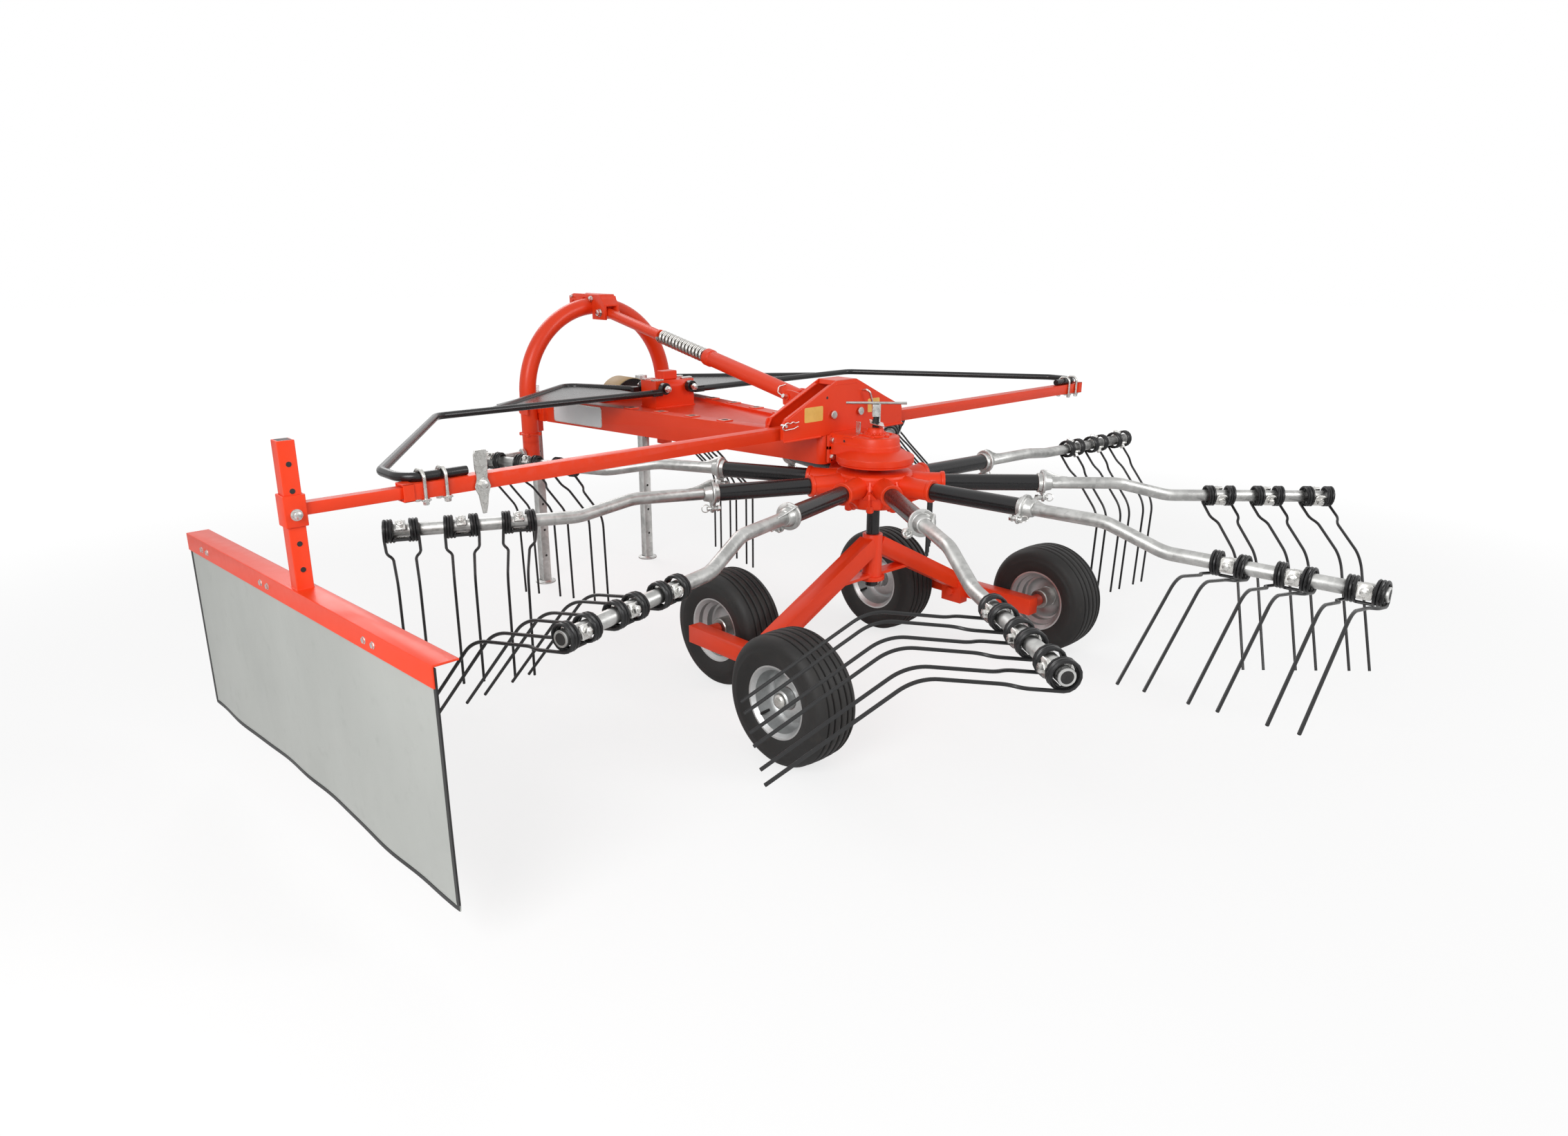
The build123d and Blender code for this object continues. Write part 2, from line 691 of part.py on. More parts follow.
# Curtain
def make_slide_tube():
    middle_y = fold_middle_y
    inner = square_bar((-(side_arm_end_x - slide_reach_in), middle_y, side_arm_z),
                       (-(post_x - post_tube / 2), middle_y, side_arm_z), slide_tube, slide_tube)
    outer = post_tube / 2 + sleeve_wall + sleeve_clearance
    sleeve = box_between((-post_x - outer, middle_y - outer, side_arm_z - sleeve_height / 2),
                         (-post_x + outer, middle_y + outer, side_arm_z + sleeve_height / 2))
    hollow = post_tube / 2 + sleeve_clearance
    bore = box_between((-post_x - hollow, middle_y - hollow, side_arm_z - sleeve_height),
                       (-post_x + hollow, middle_y + hollow, side_arm_z + sleeve_height))
    return inner + sleeve - bore


def make_curtain_frame():
    middle_y = fold_middle_y
    post = square_bar((-post_x, middle_y, rail_top_z - 2), (-post_x, middle_y, post_top_z), post_tube, post_tube)
    top = box_between((-rail_top_width / 2, -rail_length / 2, rail_top_z - rail_sheet),
                      (rail_top_width / 2, rail_length / 2, rail_top_z))
    face = box_between((-rail_top_width / 2, -rail_length / 2, rail_top_z - rail_side_height),
                       (-rail_top_width / 2 + rail_sheet, rail_length / 2, rail_top_z))
    rail = Pos(-post_x, rail_middle_y, 0) * Rot(0, 0, -rail_yaw) * (top + face)
    return post + rail


def make_curtain_sheet():
    half = rail_length / 2
    top = rail_top_z - rail_sheet - 2
    line = [(-half, top), (half, top), (half, sheet_high_z)]
    outline = Polyline(*line) + Spline((half, sheet_high_z), (0, sheet_high_z - 10), (-half * 0.7, sheet_low_z + 15),
                                       (-half, sheet_low_z)) + Line((-half, sheet_low_z), (-half, top))
    face = make_face(outline)
    plane = Plane(origin=(0, 0, 0), x_dir=(0, 1, 0), z_dir=(1, 0, 0))
    inner = -rail_top_width / 2 + rail_sheet
    sheet = Pos(inner, 0, 0) * extrude(plane * face, sheet_thickness)
    return Pos(-post_x, rail_middle_y, 0) * Rot(0, 0, -rail_yaw) * sheet


# Headstock
def make_arch():
    """Round tube bent over a half circle, with straight legs that are open at the foot."""
    left = Vector(-arch_half_span, arch_y, arch_centre_z)
    right = Vector(arch_half_span, arch_y, arch_centre_z)
    top = Vector(0, arch_y, arch_centre_z + arch_half_span)
    path = Line((left.X, arch_y, leg_foot_z), left)
    path = path + ThreePointArc(left, top, right)
    path = path + Line(right, (right.X, arch_y, leg_foot_z))
    start = Plane(origin=(-arch_half_span, arch_y, leg_foot_z), z_dir=(0, 0, 1))
    body = sweep(start * Circle(arch_tube / 2), path=path)
    for x in (-arch_half_span, arch_half_span):
        body = body - rod((x, arch_y, leg_foot_z - 1), (x, arch_y, arch_centre_z), arch_tube / 2 - arch_wall)
    return body


def make_lower_pins():
    pins = []
    for side in (-1, 1):
        face = arch_half_span + arch_tube / 2
        pin = rod((side * face, arch_y, lower_pin_z), (side * (lower_pin_shoulder + lower_pin_length), arch_y,
                                                       lower_pin_z), lower_pin_radius)
        collar = rod((side * face, arch_y, lower_pin_z), (side * lower_pin_shoulder, arch_y, lower_pin_z),
                     lower_pin_collar)
        pins.append(pin + collar)
    return Compound(pins)


def make_clevis():
    """Hood over the top of the arch with the top link hole in front and the strut pin behind."""
    outer = clevis_half_gap + clevis_plate
    low = strut_front_z - strut_thick_radius
    arch_rear = arch_y - arch_tube / 2
    arch_front = arch_y + arch_tube / 2
    cap = arch_top_z + clevis_cap
    outline = [
        (clevis_rear_y, low), (arch_rear, low), (arch_rear, arch_top_z), (arch_front, arch_top_z),
        (arch_front, top_hole_z - clevis_ear), (top_hole_y + clevis_ear, top_hole_z - clevis_ear),
        (top_hole_y + clevis_ear, top_hole_z + clevis_ear - 6), (top_hole_y, cap),
        (clevis_rear_y + clevis_ear, cap), (clevis_rear_y, strut_front_z + clevis_ear)]
    face = make_face(Polyline(*outline, close=True))
    plane = Plane(origin=(0, 0, 0), x_dir=(0, 1, 0), z_dir=(1, 0, 0))
    block = Pos(-outer, 0, 0) * extrude(plane * face, 2 * outer)
    front_gap = box_between((-clevis_half_gap, arch_front, top_hole_z - clevis_ear - 1),
                            (clevis_half_gap, top_hole_y + clevis_ear + 1, cap + 1))
    rear_gap = box_between((-clevis_half_gap, clevis_rear_y - 1, low - 1),
                           (clevis_half_gap, arch_rear + 1, strut_front_z + strut_thin_radius + side_gap))
    hole = rod((-outer - 1, top_hole_y, top_hole_z), (outer + 1, top_hole_y, top_hole_z), top_hole_radius)
    pin = rod((-outer - 6, strut_front_y, strut_front_z), (outer + 6, strut_front_y, strut_front_z),
              strut_pin_radius)
    return block - front_gap - rear_gap - hole + pin


def strut_point(y):
    share = (y - strut_rear_y) / (strut_front_y - strut_rear_y)
    return (0, y, strut_rear_z + (strut_front_z - strut_rear_z) * share)


def make_strut():
    lower = rod(strut_point(strut_rear_y - 24), strut_point(spring_from_y), strut_thick_radius)
    lower = lower - rod((-60, strut_rear_y, strut_rear_z), (60, strut_rear_y, strut_rear_z), strut_pin_radius)
    spring = rod(strut_point(spring_from_y), strut_point(spring_to_y), spring_radius)
    spring = spring - rod(strut_point(spring_from_y - 9), strut_point(spring_to_y + 9), strut_thin_radius)
    upper = rod(strut_point(spring_from_y), strut_point(strut_front_y + 22), strut_thin_radius)
    upper = upper - rod((-60, strut_front_y, strut_front_z), (60, strut_front_y, strut_front_z), strut_pin_radius)
    return {"strut_lower_tube": lower, "strut_spring": spring, "strut_upper_tube": upper}


# Gearbox and driveline
def make_gearbox():
    disc = rod((0, 0, disc_bottom_z), (0, 0, disc_top_z), disc_radius)
    plane = Plane(origin=(0, 0, disc_top_z))
    cone = extrude(plane * Circle(disc_radius), cone_top_z - disc_top_z, taper=60)
    body = disc + cone
    drum = rod((0, 0, disc_top_z), (0, 0, housing_top_z), housing_half)
    block = box_between((-housing_half, 0, disc_top_z), (housing_half, nose_rear_y, housing_top_z))
    flange = box_between((-housing_half - 14, nose_rear_y - 14, beam_bottom_z + 6),
                         (housing_half + 14, nose_rear_y, housing_top_z - 6))
    boss = rod((0, 0, housing_top_z), (0, 0, boss_top_z), boss_radius)
    return body + drum + block + flange + boss


def make_spindle():
    rod_up = rod((0, 0, boss_top_z), (0, 0, turn_bar_z), spindle_radius)
    block = box_between((-spindle_block / 2, -spindle_block / 2, turn_bar_z - 1.6 * spindle_block),
                        (spindle_block / 2, spindle_block / 2, turn_bar_z - turn_bar_radius))
    turn = Rot(0, 0, turn_bar_angle)
    bar = turn * rod((-turn_bar_length / 2, 0, turn_bar_z), (turn_bar_length / 2, 0, turn_bar_z), turn_bar_radius)
    return rod_up + turn * block + bar


def make_input_shaft():
    return rod((0, input_face_y, input_z), (0, input_face_y + input_shaft_length, input_z), input_shaft_radius)


def make_input_hood():
    length = hood_length
    rear = input_face_y
    outer = rod((0, rear, hood_centre_z), (0, rear + length, hood_centre_z), hood_radius)
    outer = outer + box_between((-hood_radius, rear, hood_low_z), (hood_radius, rear + length, hood_centre_z))
    low = box_between((-hood_radius - 1, rear - 1, hood_centre_z - hood_radius - 1),
                      (hood_radius + 1, rear + length + 1, hood_low_z))
    outer = outer - low
    inner = rod((0, rear + hood_wall, hood_centre_z), (0, rear + length + 1, hood_centre_z), hood_radius - hood_wall)
    inner = inner + box_between((-hood_radius + hood_wall, rear + hood_wall, hood_low_z - 60),
                                (hood_radius - hood_wall, rear + length + 1, hood_centre_z))
    hole = rod((0, rear - 1, input_z), (0, rear + hood_wall + 1, input_z), input_shaft_radius + hood_gap)
    return outer - inner - hole


# Stands
def make_stand_sleeve(side):
    outer = stand_tube / 2 + stand_clearance + stand_sleeve_wall
    hollow = stand_tube / 2 + stand_clearance
    x = side * stand_x
    sleeve = box_between((x - outer, stand_y - outer, stand_sleeve_low_z),
                         (x + outer, stand_y + outer, stand_sleeve_high_z))
    arm = box_between((x - outer, front_box_y, beam_bottom_z + 5 * front_box_inset),
                      (x + outer, stand_y, beam_top_z - 5 * front_box_inset))
    bore = box_between((x - hollow, stand_y - hollow, stand_sleeve_low_z - 1),
                       (x + hollow, stand_y + hollow, stand_sleeve_high_z + 1))
    return sleeve + arm - bore


def make_stand_leg(side):
    x = side * stand_x
    foot = rod((x, stand_y, 0), (x, stand_y, foot_thickness), foot_radius)
    leg = square_bar((x, stand_y, foot_thickness), (x, stand_y, stand_top_z), stand_tube, stand_tube,
                     across=(1, 0, 0))
    return foot + leg


def make_all():
    nodes = {}
    nodes["main_beam"] = make_main_beam()
    nodes["tower_plates"] = make_tower()
    nodes["gearbox_housing"] = make_gearbox()
    nodes["height_spindle"] = make_spindle()
    nodes["column_shaft"] = make_column_shaft()
    nodes["undercarriage_frame"] = make_undercarriage()
    nodes["headstock_arch"] = make_arch()
    nodes["headstock_clevis"] = make_clevis()
    nodes["lower_link_pins"] = make_lower_pins()
    nodes.update(make_strut())
    nodes["input_hood"] = make_input_hood()
    nodes["input_shaft"] = make_input_shaft()
    nodes["guard_pivot_box"] = make_guard_box()
    nodes["stand_sleeves"] = Compound([make_stand_sleeve(-1), make_stand_sleeve(1)])
    nodes.update(make_rotor())
    for side, name in ((-1, "left"), (1, "right")):
        nodes["walking_beam_" + name] = make_walking_beam(side)
        for y, x, end in ((-axle_offset_y, rear_wheel_x, "rear"), (axle_offset_y, front_wheel_x, "front")):
            nodes["tyre_" + end + "_" + name] = make_tyre(side * x, y)
            way = side if end == "rear" else -side
            nodes["rim_" + end + "_" + name] = make_rim(side * x, y, way)
        nodes["stand_leg_" + name] = make_stand_leg(side)
        nodes["side_arm_" + name] = make_side_arm(side)
        nodes["guard_hoop_" + name] = make_guard_hoop(side)
    nodes["curtain_slide_tube"] = make_slide_tube()
    nodes["curtain_frame"] = make_curtain_frame()
    nodes["curtain_sheet"] = make_curtain_sheet()
    return nodes


model = make_all()
whole = Compound(list(model.values())).bounding_box()
shift = Vector(-(whole.min.X + whole.max.X) / 2, -(whole.min.Y + whole.max.Y) / 2, -whole.min.Z)
for name, shape in model.items():
    export_step(Pos(*shift) * shape, "parts/" + name + ".step")
print("origin moved by", shift)
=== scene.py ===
import bpy
import bmesh
import json
import math
from mathutils import Matrix, Vector


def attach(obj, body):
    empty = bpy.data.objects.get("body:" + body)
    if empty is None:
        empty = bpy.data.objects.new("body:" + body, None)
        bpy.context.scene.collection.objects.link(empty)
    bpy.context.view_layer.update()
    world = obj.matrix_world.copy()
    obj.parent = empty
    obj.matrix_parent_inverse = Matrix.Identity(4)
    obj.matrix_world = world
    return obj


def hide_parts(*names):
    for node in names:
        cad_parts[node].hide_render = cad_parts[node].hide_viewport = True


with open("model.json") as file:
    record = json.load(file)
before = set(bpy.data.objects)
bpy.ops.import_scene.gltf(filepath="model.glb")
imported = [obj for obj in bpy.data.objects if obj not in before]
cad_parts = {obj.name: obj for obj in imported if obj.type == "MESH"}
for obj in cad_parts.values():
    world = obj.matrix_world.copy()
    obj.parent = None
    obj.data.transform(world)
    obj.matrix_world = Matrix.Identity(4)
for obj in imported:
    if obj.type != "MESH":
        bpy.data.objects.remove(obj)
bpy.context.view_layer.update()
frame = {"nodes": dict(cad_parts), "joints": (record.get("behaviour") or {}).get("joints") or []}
rotorPlace = next(joint["pos_m"] for joint in frame["joints"] if joint["name"] == "rotor_turn")
# the point below the rotor; sizes count from it in millimetres
ground = Vector((rotorPlace[0], rotorPlace[1], 0))


class Link:  # a socket that can stand in plain sums, in material and geometry trees alike
    def __init__(self, tree, socket=None):
        self.tree = tree
        self.socket = socket

    def make(self, kind, settings=None, inputs=None, output=0):
        node = self.tree.nodes.new(kind)
        for name, value in (settings or {}).items():
            if name == "stops":
                ramp = node.color_ramp.elements
                while len(ramp) < len(value):
                    ramp.new(0.5)
                for stop, (place, colour) in zip(ramp, value):
                    stop.position = place
                    stop.color = colour
            else:
                setattr(node, name, value)
        for name, value in (inputs or {}).items():
            if isinstance(value, Link):
                self.tree.links.new(value.socket, node.inputs[name])
            else:
                node.inputs[name].default_value = value
        return Link(self.tree, node.outputs[output] if len(node.outputs) else None)

    def maths(self, operation, a, b):
        return self.make("ShaderNodeMath", {"operation": operation}, {0: a, 1: b})

    def clamped(self):
        return self.make("ShaderNodeClamp", inputs={"Value": self})

    def step(self, low, high):  # 0 below low, 1 above high, smooth between
        return self.make("ShaderNodeMapRange", {"interpolation_type": "SMOOTHSTEP"},
                         {"Value": self, "From Min": low, "From Max": high})

    def __add__(self, other):
        return self.maths("ADD", self, other)

    def __sub__(self, other):
        return self.maths("SUBTRACT", self, other)

    def __mul__(self, other):
        return self.maths("MULTIPLY", self, other)


def mixColour(factor, first, second):
    return factor.make("ShaderNodeMix", {"data_type": "RGBA"}, {0: factor, 6: first, 7: second}, 2)


def newMaterial(name):
    material = bpy.data.materials.new(name)
    material.use_nodes = True
    tree = material.node_tree
    tree.nodes.clear()
    return material, Link(tree)


def closeMaterial(link, colour, roughness, metallic=0.0, bump=None, bumpDepth=0.2, coat=0.0,
                  coatRoughness=0.1,
                  specular=0.5):
    inputs = {"Base Color": colour, "Roughness": roughness, "Metallic": metallic, "Coat Weight": coat,
              "Coat Roughness": coatRoughness, "Specular IOR Level": specular}
    if bump is not None:
        inputs["Normal"] = link.make("ShaderNodeBump", inputs={"Height": bump, "Strength": bumpDepth,
                                                               "Distance": 0.002})
    shader = link.make("ShaderNodeBsdfPrincipled", inputs=inputs)
    link.make("ShaderNodeOutputMaterial", inputs={"Surface": shader})


def objectPlace(link, stretch=(1, 1, 1)):
    place = link.make("ShaderNodeTexCoord", output=3)
    return link.make("ShaderNodeMapping", inputs={"Vector": place, "Scale": stretch})


def cloudy(link, place, scale, detail=4.0, rough=0.55):
    return link.make("ShaderNodeTexNoise", inputs={"Vector": place, "Scale": scale, "Detail": detail,
                                                   "Roughness": rough})


def upward(link):  # how far a face looks up, 0 to 1
    normal = link.make("ShaderNodeNewGeometry", output=1)
    return link.make("ShaderNodeSeparateXYZ", inputs={0: normal}, output=2).clamped()


def edgeRub(link, low, high):
    point = link.make("ShaderNodeNewGeometry", output=7)
    return point.step(low, high)


paintFinish = {"red": (0.88, 0.052, 0.008, 1), "redDeep": (0.70, 0.032, 0.006, 1),
               "black": (0.009, 0.009, 0.010, 1),
               "dust": (0.46, 0.33, 0.22, 1)}


def makePaint(name, colour, deep, roughness, dustShare, coat, rubShare=0.2):
    material, link = newMaterial(name)
    place = objectPlace(link)
    broad = cloudy(link, place, 2.4).step(0.35, 0.7)
    fine = cloudy(link, place, 38.0, 6.0)
    peel = cloudy(link, place, 420.0, 2.0)
    run = cloudy(link, place, 120.0, 3.0)
    base = mixColour(broad * 0.35 + fine * 0.12, colour, deep)
    rub = edgeRub(link, 0.56, 0.66) * fine.step(0.45, 0.65) * rubShare
    base = mixColour(rub, base, tuple(min(1.0, 0.10 + c * 0.85) for c in colour[:3]) + (1,))
    dust = upward(link) * fine.step(0.45, 0.8) * dustShare
    base = mixColour(dust, base, paintFinish["dust"])
    rough = (fine * 0.12 + roughness - 0.06) + dust * 0.6 + rub * 0.3
    closeMaterial(link, base, rough, bump=peel * 0.5 + run * 0.4 + fine * 0.3, bumpDepth=0.06, coat=coat,
                  coatRoughness=0.16, specular=0.35)
    return material


def makeZinc(name, light, dark, roughness, grain):
    material, link = newMaterial(name)
    place = objectPlace(link)
    flakes = link.make("ShaderNodeTexVoronoi", {"feature": "F1"}, {"Vector": place, "Scale": grain}, 1)
    flake = link.make("ShaderNodeSeparateColor", inputs={0: flakes})
    cloud = cloudy(link, place, 14.0, 6.0)
    fine = cloudy(link, place, 260.0, 3.0)
    tone = (flake * 0.45 + cloud.step(0.3, 0.75) * 0.55).clamped()
    base = mixColour(tone, dark, light)
    rub = edgeRub(link, 0.52, 0.60) * 0.5
    base = mixColour(rub, base, (0.78, 0.78, 0.77, 1))
    rough = flake * 0.10 + cloud * 0.16 + (roughness - 0.12)
    closeMaterial(link, base, rough, metallic=1.0, bump=fine * 0.6 + flake * 0.25, bumpDepth=0.10)
    return material


def makeRubber(name):
    material, link = newMaterial(name)
    place = objectPlace(link)
    broad = cloudy(link, place, 6.0, 5.0)
    fine = cloudy(link, place, 150.0, 5.0)
    scuff = cloudy(link, place, 28.0, 7.0).step(0.52, 0.72)
    base = mixColour(broad * 0.6 + scuff * 0.4, (0.0085, 0.0085, 0.009, 1), (0.034, 0.031, 0.028, 1))
    closeMaterial(link, base, broad * 0.16 + scuff * 0.12 + 0.48, bump=fine * 0.8 + broad * 0.4,
                  bumpDepth=0.22,
                  specular=0.4)
    return material


def makePlain(name, colour, other, roughness, scale, bumpScale, depth=0.12, metallic=0.0, coat=0.0):
    material, link = newMaterial(name)
    place = objectPlace(link)
    cloud = cloudy(link, place, scale, 5.0)
    grain = cloudy(link, place, bumpScale, 3.0)
    base = mixColour(cloud.step(0.3, 0.75), colour, other)
    closeMaterial(link, base, cloud * 0.15 + grain * 0.08 + (roughness - 0.11), metallic=metallic,
                  bump=grain + cloud * 0.5, bumpDepth=depth, coat=coat)
    return material


def makeCloth(name, colour, shade):  # coated fabric: a fine woven grid under a satin skin, soft creases
    material, link = newMaterial(name)
    place = objectPlace(link)
    thread = [link.make("ShaderNodeTexWave",
                        {"wave_type": "BANDS", "bands_direction": way, "wave_profile": "SIN"},
                        {"Vector": place, "Scale": 120.0, "Distortion": 0.3, "Detail": 1.0}, 1)
              for way in ("Y", "Z")]
    weave = thread[0] * 0.5 + thread[1] * 0.5
    broad = cloudy(link, objectPlace(link, (1, 1, 0.6)), 3.2, 3.0).step(0.3, 0.72)
    crease = cloudy(link, objectPlace(link, (1, 1.6, 0.7)), 7.0, 5.0, 0.62)
    smear = cloudy(link, place, 24.0, 6.0).step(0.55, 0.8)
    base = mixColour(broad * 0.55 + smear * 0.25, colour, shade)
    closeMaterial(link, base, broad * 0.10 + smear * 0.12 + 0.40, bump=weave * 0.10 + crease * 2.2,
                  bumpDepth=0.35,
                  specular=0.4)
    return material


materials = {
    "red": makePaint("red paint", paintFinish["red"], paintFinish["redDeep"], 0.38, 0.03, 0.12),
    "cast": makePaint("red paint on casting", paintFinish["red"], paintFinish["redDeep"], 0.42, 0.04, 0.10),
    "black": makePaint("black paint", paintFinish["black"], (0.018, 0.018, 0.018, 1), 0.27, 0.0, 0.2, 0.0),
    "tine": makePaint("tine coating", (0.010, 0.010, 0.011, 1), (0.016, 0.016, 0.016, 1), 0.34, 0.0, 0.1,
                      0.0),
    "zinc": makeZinc("galvanised tube", (0.60, 0.60, 0.585, 1), (0.36, 0.36, 0.35, 1), 0.40, 70.0),
    "bright": makeZinc("bright zinc plate", (0.74, 0.73, 0.70, 1), (0.50, 0.49, 0.46, 1), 0.28, 160.0),
    "steel": makeZinc("plain steel", (0.40, 0.385, 0.36, 1), (0.22, 0.205, 0.19, 1), 0.36, 240.0),
    "rim": makeZinc("silver rim", (0.60, 0.61, 0.61, 1), (0.46, 0.47, 0.47, 1), 0.42, 190.0),
    "spring": makeZinc("spring wire", (0.62, 0.60, 0.57, 1), (0.42, 0.40, 0.37, 1), 0.26, 260.0),
    "rubber": makeRubber("tyre rubber"),
    "cloth": makeCloth("coated curtain cloth", (0.455, 0.470, 0.445, 1), (0.395, 0.408, 0.388, 1)),
    "binding": makeCloth("black binding", (0.014, 0.014, 0.015, 1), (0.026, 0.025, 0.024, 1)),
    "brass": makePlain("yellow plated bolt", (0.72, 0.50, 0.20, 1), (0.52, 0.36, 0.15, 1), 0.34, 60.0, 240.0,
                       metallic=1.0),
    "hood": makePlain("tan hood plastic", (0.50, 0.36, 0.17, 1), (0.38, 0.26, 0.12, 1), 0.52, 9.0, 220.0),
    "yellow": makePlain("blank yellow plate", (0.86, 0.55, 0.13, 1), (0.78, 0.47, 0.10, 1), 0.36, 30.0, 300.0,
                        0.05,
                        coat=0.4),
    "worn": makePaint("worn pad face", (0.80, 0.36, 0.27, 1), (0.86, 0.22, 0.13, 1), 0.30, 0.0, 0.2),
    "white": makePlain("blank white plate", (0.88, 0.89, 0.89, 1), (0.82, 0.84, 0.85, 1), 0.34, 12.0, 300.0,
                       0.04,
                       coat=0.4),
    # near-black: painted shade inside holes, bolt pockets and open tube ends, and also the own colour of the
    # dark steel screw and guide rod
    "dark": makePlain("dark recess", (0.010, 0.010, 0.010, 1), (0.022, 0.020, 0.019, 1), 0.6, 40.0, 200.0),
}
print("finishes made", len(materials))


origin, xAxis, yAxis, zAxis = (0, 0, 0), (1, 0, 0), (0, 1, 0), (0, 0, 1)
sides = ((-1, "left"), (1, "right"))


def circle(radius, count):
    angles = [2 * math.pi * k / count for k in range(count)]
    return [(radius * math.cos(a), radius * math.sin(a)) for a in angles]


def toothed(count, stops):  # an outline of equal teeth; stops are (share of a tooth's pitch, radius)
    outline = []
    for k in range(count):
        for share, radius in stops:
            a = 2 * math.pi * (k + share) / count
            outline.append((radius * math.cos(a), radius * math.sin(a)))
    return outline


def spun(degrees, axis="Z"):
    return Matrix.Rotation(math.radians(degrees), 4, axis)


def metres(points):
    return [tuple(Vector(p) / 1000) for p in points]


def newObject(name, data):
    thing = bpy.data.objects.new(name, data)
    bpy.context.collection.objects.link(thing)
    return thing


def lineObject(name, points):  # an open line of edges, for the wire tree
    mesh = bpy.data.meshes.new(name)
    mesh.from_pydata(metres(points), [(k, k + 1) for k in range(len(points) - 1)], [])
    return newObject(name, mesh)


class Solid:  # gathers shapes, in millimetres from the ground point below the rotor
    def __init__(self, turn=None, mesh=None):
        self.mesh = mesh or bmesh.new()
        self.turn = turn or Matrix.Identity(4)

    def vertices(self, points):
        return [self.mesh.verts.new(self.turn @ Vector(p)) for p in points]

    def rings(self, rings, closed=False):  # skins one ring to the next; closed joins the last to the first
        loops = [self.vertices(ring) for ring in rings]
        pairs = list(zip(loops, loops[1:]))
        if closed:
            pairs.append((loops[-1], loops[0]))
        for first, second in pairs:
            for k in range(len(first)):
                n = (k + 1) % len(first)
                self.mesh.faces.new((first[k], first[n], second[n], second[k]))
        if not closed:
            self.mesh.faces.new(list(reversed(loops[0])))
            self.mesh.faces.new(loops[-1])

    def prism(self, outline, levels, axis=2):  # an outline in two axes stood at each level of the third
        self.rings([[(*p[:axis], level, *p[axis:]) for p in outline] for level in levels])

    def box(self, start, end):
        (x0, x1), (y0, y1), (z0, z1) = (sorted(pair) for pair in zip(start, end))
        self.prism([(x0, y0), (x1, y0), (x1, y1), (x0, y1)], (z0, z1))

    def tube(self, points, radius, sides=24, section=None, across=None, closed=False):
        points = [Vector(p) for p in points]
        count = len(points)
        shape = section or [(u * radius, v * radius) for u, v in circle(1, sides)]
        tangents = []
        for k in range(count):
            before = points[k - 1] if k or closed else points[0]
            after = points[(k + 1) % count] if k < count - 1 or closed else points[-1]
            tangents.append((after - before).normalized())
        side = Vector(across) if across else tangents[0].orthogonal()
        rings = []
        for point, tangent in zip(points, tangents):
            side = (side - tangent * side.dot(tangent)).normalized()
            other = tangent.cross(side)
            rings.append([point + side * u + other * v for u, v in shape])
        self.rings(rings, closed)

    def rod(self, start, end, radius, sides=28):
        self.tube([start, end], radius, sides)

    def bar(self, start, end, width, height, across):  # height lies along across
        w, h = width / 2, height / 2
        self.tube([start, end], 1, section=[(h, -w), (h, w), (-h, w), (-h, -w)], across=across)

    def lathe(self, profile, start=origin, axis=zAxis, sides=64):  # profile of (radius, distance on the axis)
        start, axis = Vector(start), Vector(axis).normalized()
        side = axis.orthogonal().normalized()
        other = axis.cross(side)
        least = 0.02  # a point on the axis becomes a tiny ring, so that the end stays a closed face
        unit = [side * u + other * v for u, v in circle(1, sides)]
        self.rings([[start + axis * reach + out * max(radius, least) for out in unit]
                    for radius, reach in profile])

    def ring(self, profile, start=origin, axis=zAxis, sides=64):  # a closed profile, turned round the axis
        start, axis = Vector(start), Vector(axis).normalized()
        side = axis.orthogonal().normalized()
        other = axis.cross(side)
        self.rings([[start + axis * reach + (side * u + other * v) * radius for radius, reach in profile]
                    for u, v in circle(1, sides)], True)

    def plate(self, outline, start, along, up, thickness, holes=()):  # holes of (u, v, radius)
        start, along, up = Vector(start), Vector(along).normalized(), Vector(up).normalized()
        loops = [outline] + [[(u + x, v + y) for x, y in circle(r, 20)] for u, v, r in holes]
        edges = []
        for loop in loops:
            points = self.vertices([start + along * u + up * v for u, v in loop])
            edges += [self.mesh.edges.new((points[k - 1], points[k])) for k in range(len(points))]
        filled = bmesh.ops.triangle_fill(self.mesh, use_beauty=True, use_dissolve=True, edges=edges)
        faces = [f for f in filled["geom"] if isinstance(f, bmesh.types.BMFace)]
        moved = bmesh.ops.extrude_face_region(self.mesh, geom=faces, use_keep_orig=True)
        step = self.turn.to_3x3() @ (along.cross(up) * thickness)
        points = [v for v in moved["geom"] if isinstance(v, bmesh.types.BMVert)]
        bmesh.ops.translate(self.mesh, vec=step, verts=points)

    def object(self, name, bevel=0.0, sharp=35, steps=2):
        mesh = bpy.data.meshes.new(name)
        shrink = Matrix.Diagonal((0.001, 0.001, 0.001, 1))
        bmesh.ops.transform(self.mesh, matrix=shrink, verts=self.mesh.verts)
        bmesh.ops.recalc_face_normals(self.mesh, faces=self.mesh.faces)
        self.mesh.to_mesh(mesh)
        self.mesh.free()
        piece = newObject(name, mesh)
        easeEdges(piece, bevel, steps, sharp)
        return piece

    def piece(self, name, finish, body="frame", node=None, slot=None, bevel=0.0, sharp=35, steps=2):
        return settle(self.object(name, bevel, sharp, steps), finish, body, node)


def easeEdges(piece, width, steps, sharp):  # rounds edges above an angle; the width is in millimetres
    piece.data.shade_smooth()
    if not width:
        piece.data.set_sharp_from_angle(angle=math.radians(sharp))
        return
    ease = piece.modifiers.new("eased edges", "BEVEL")
    ease.width = width / 1000
    ease.segments = steps
    ease.limit_method = "ANGLE"
    ease.angle_limit = math.radians(sharp - 3)
    ease.harden_normals = True
    applyModifiers(piece)


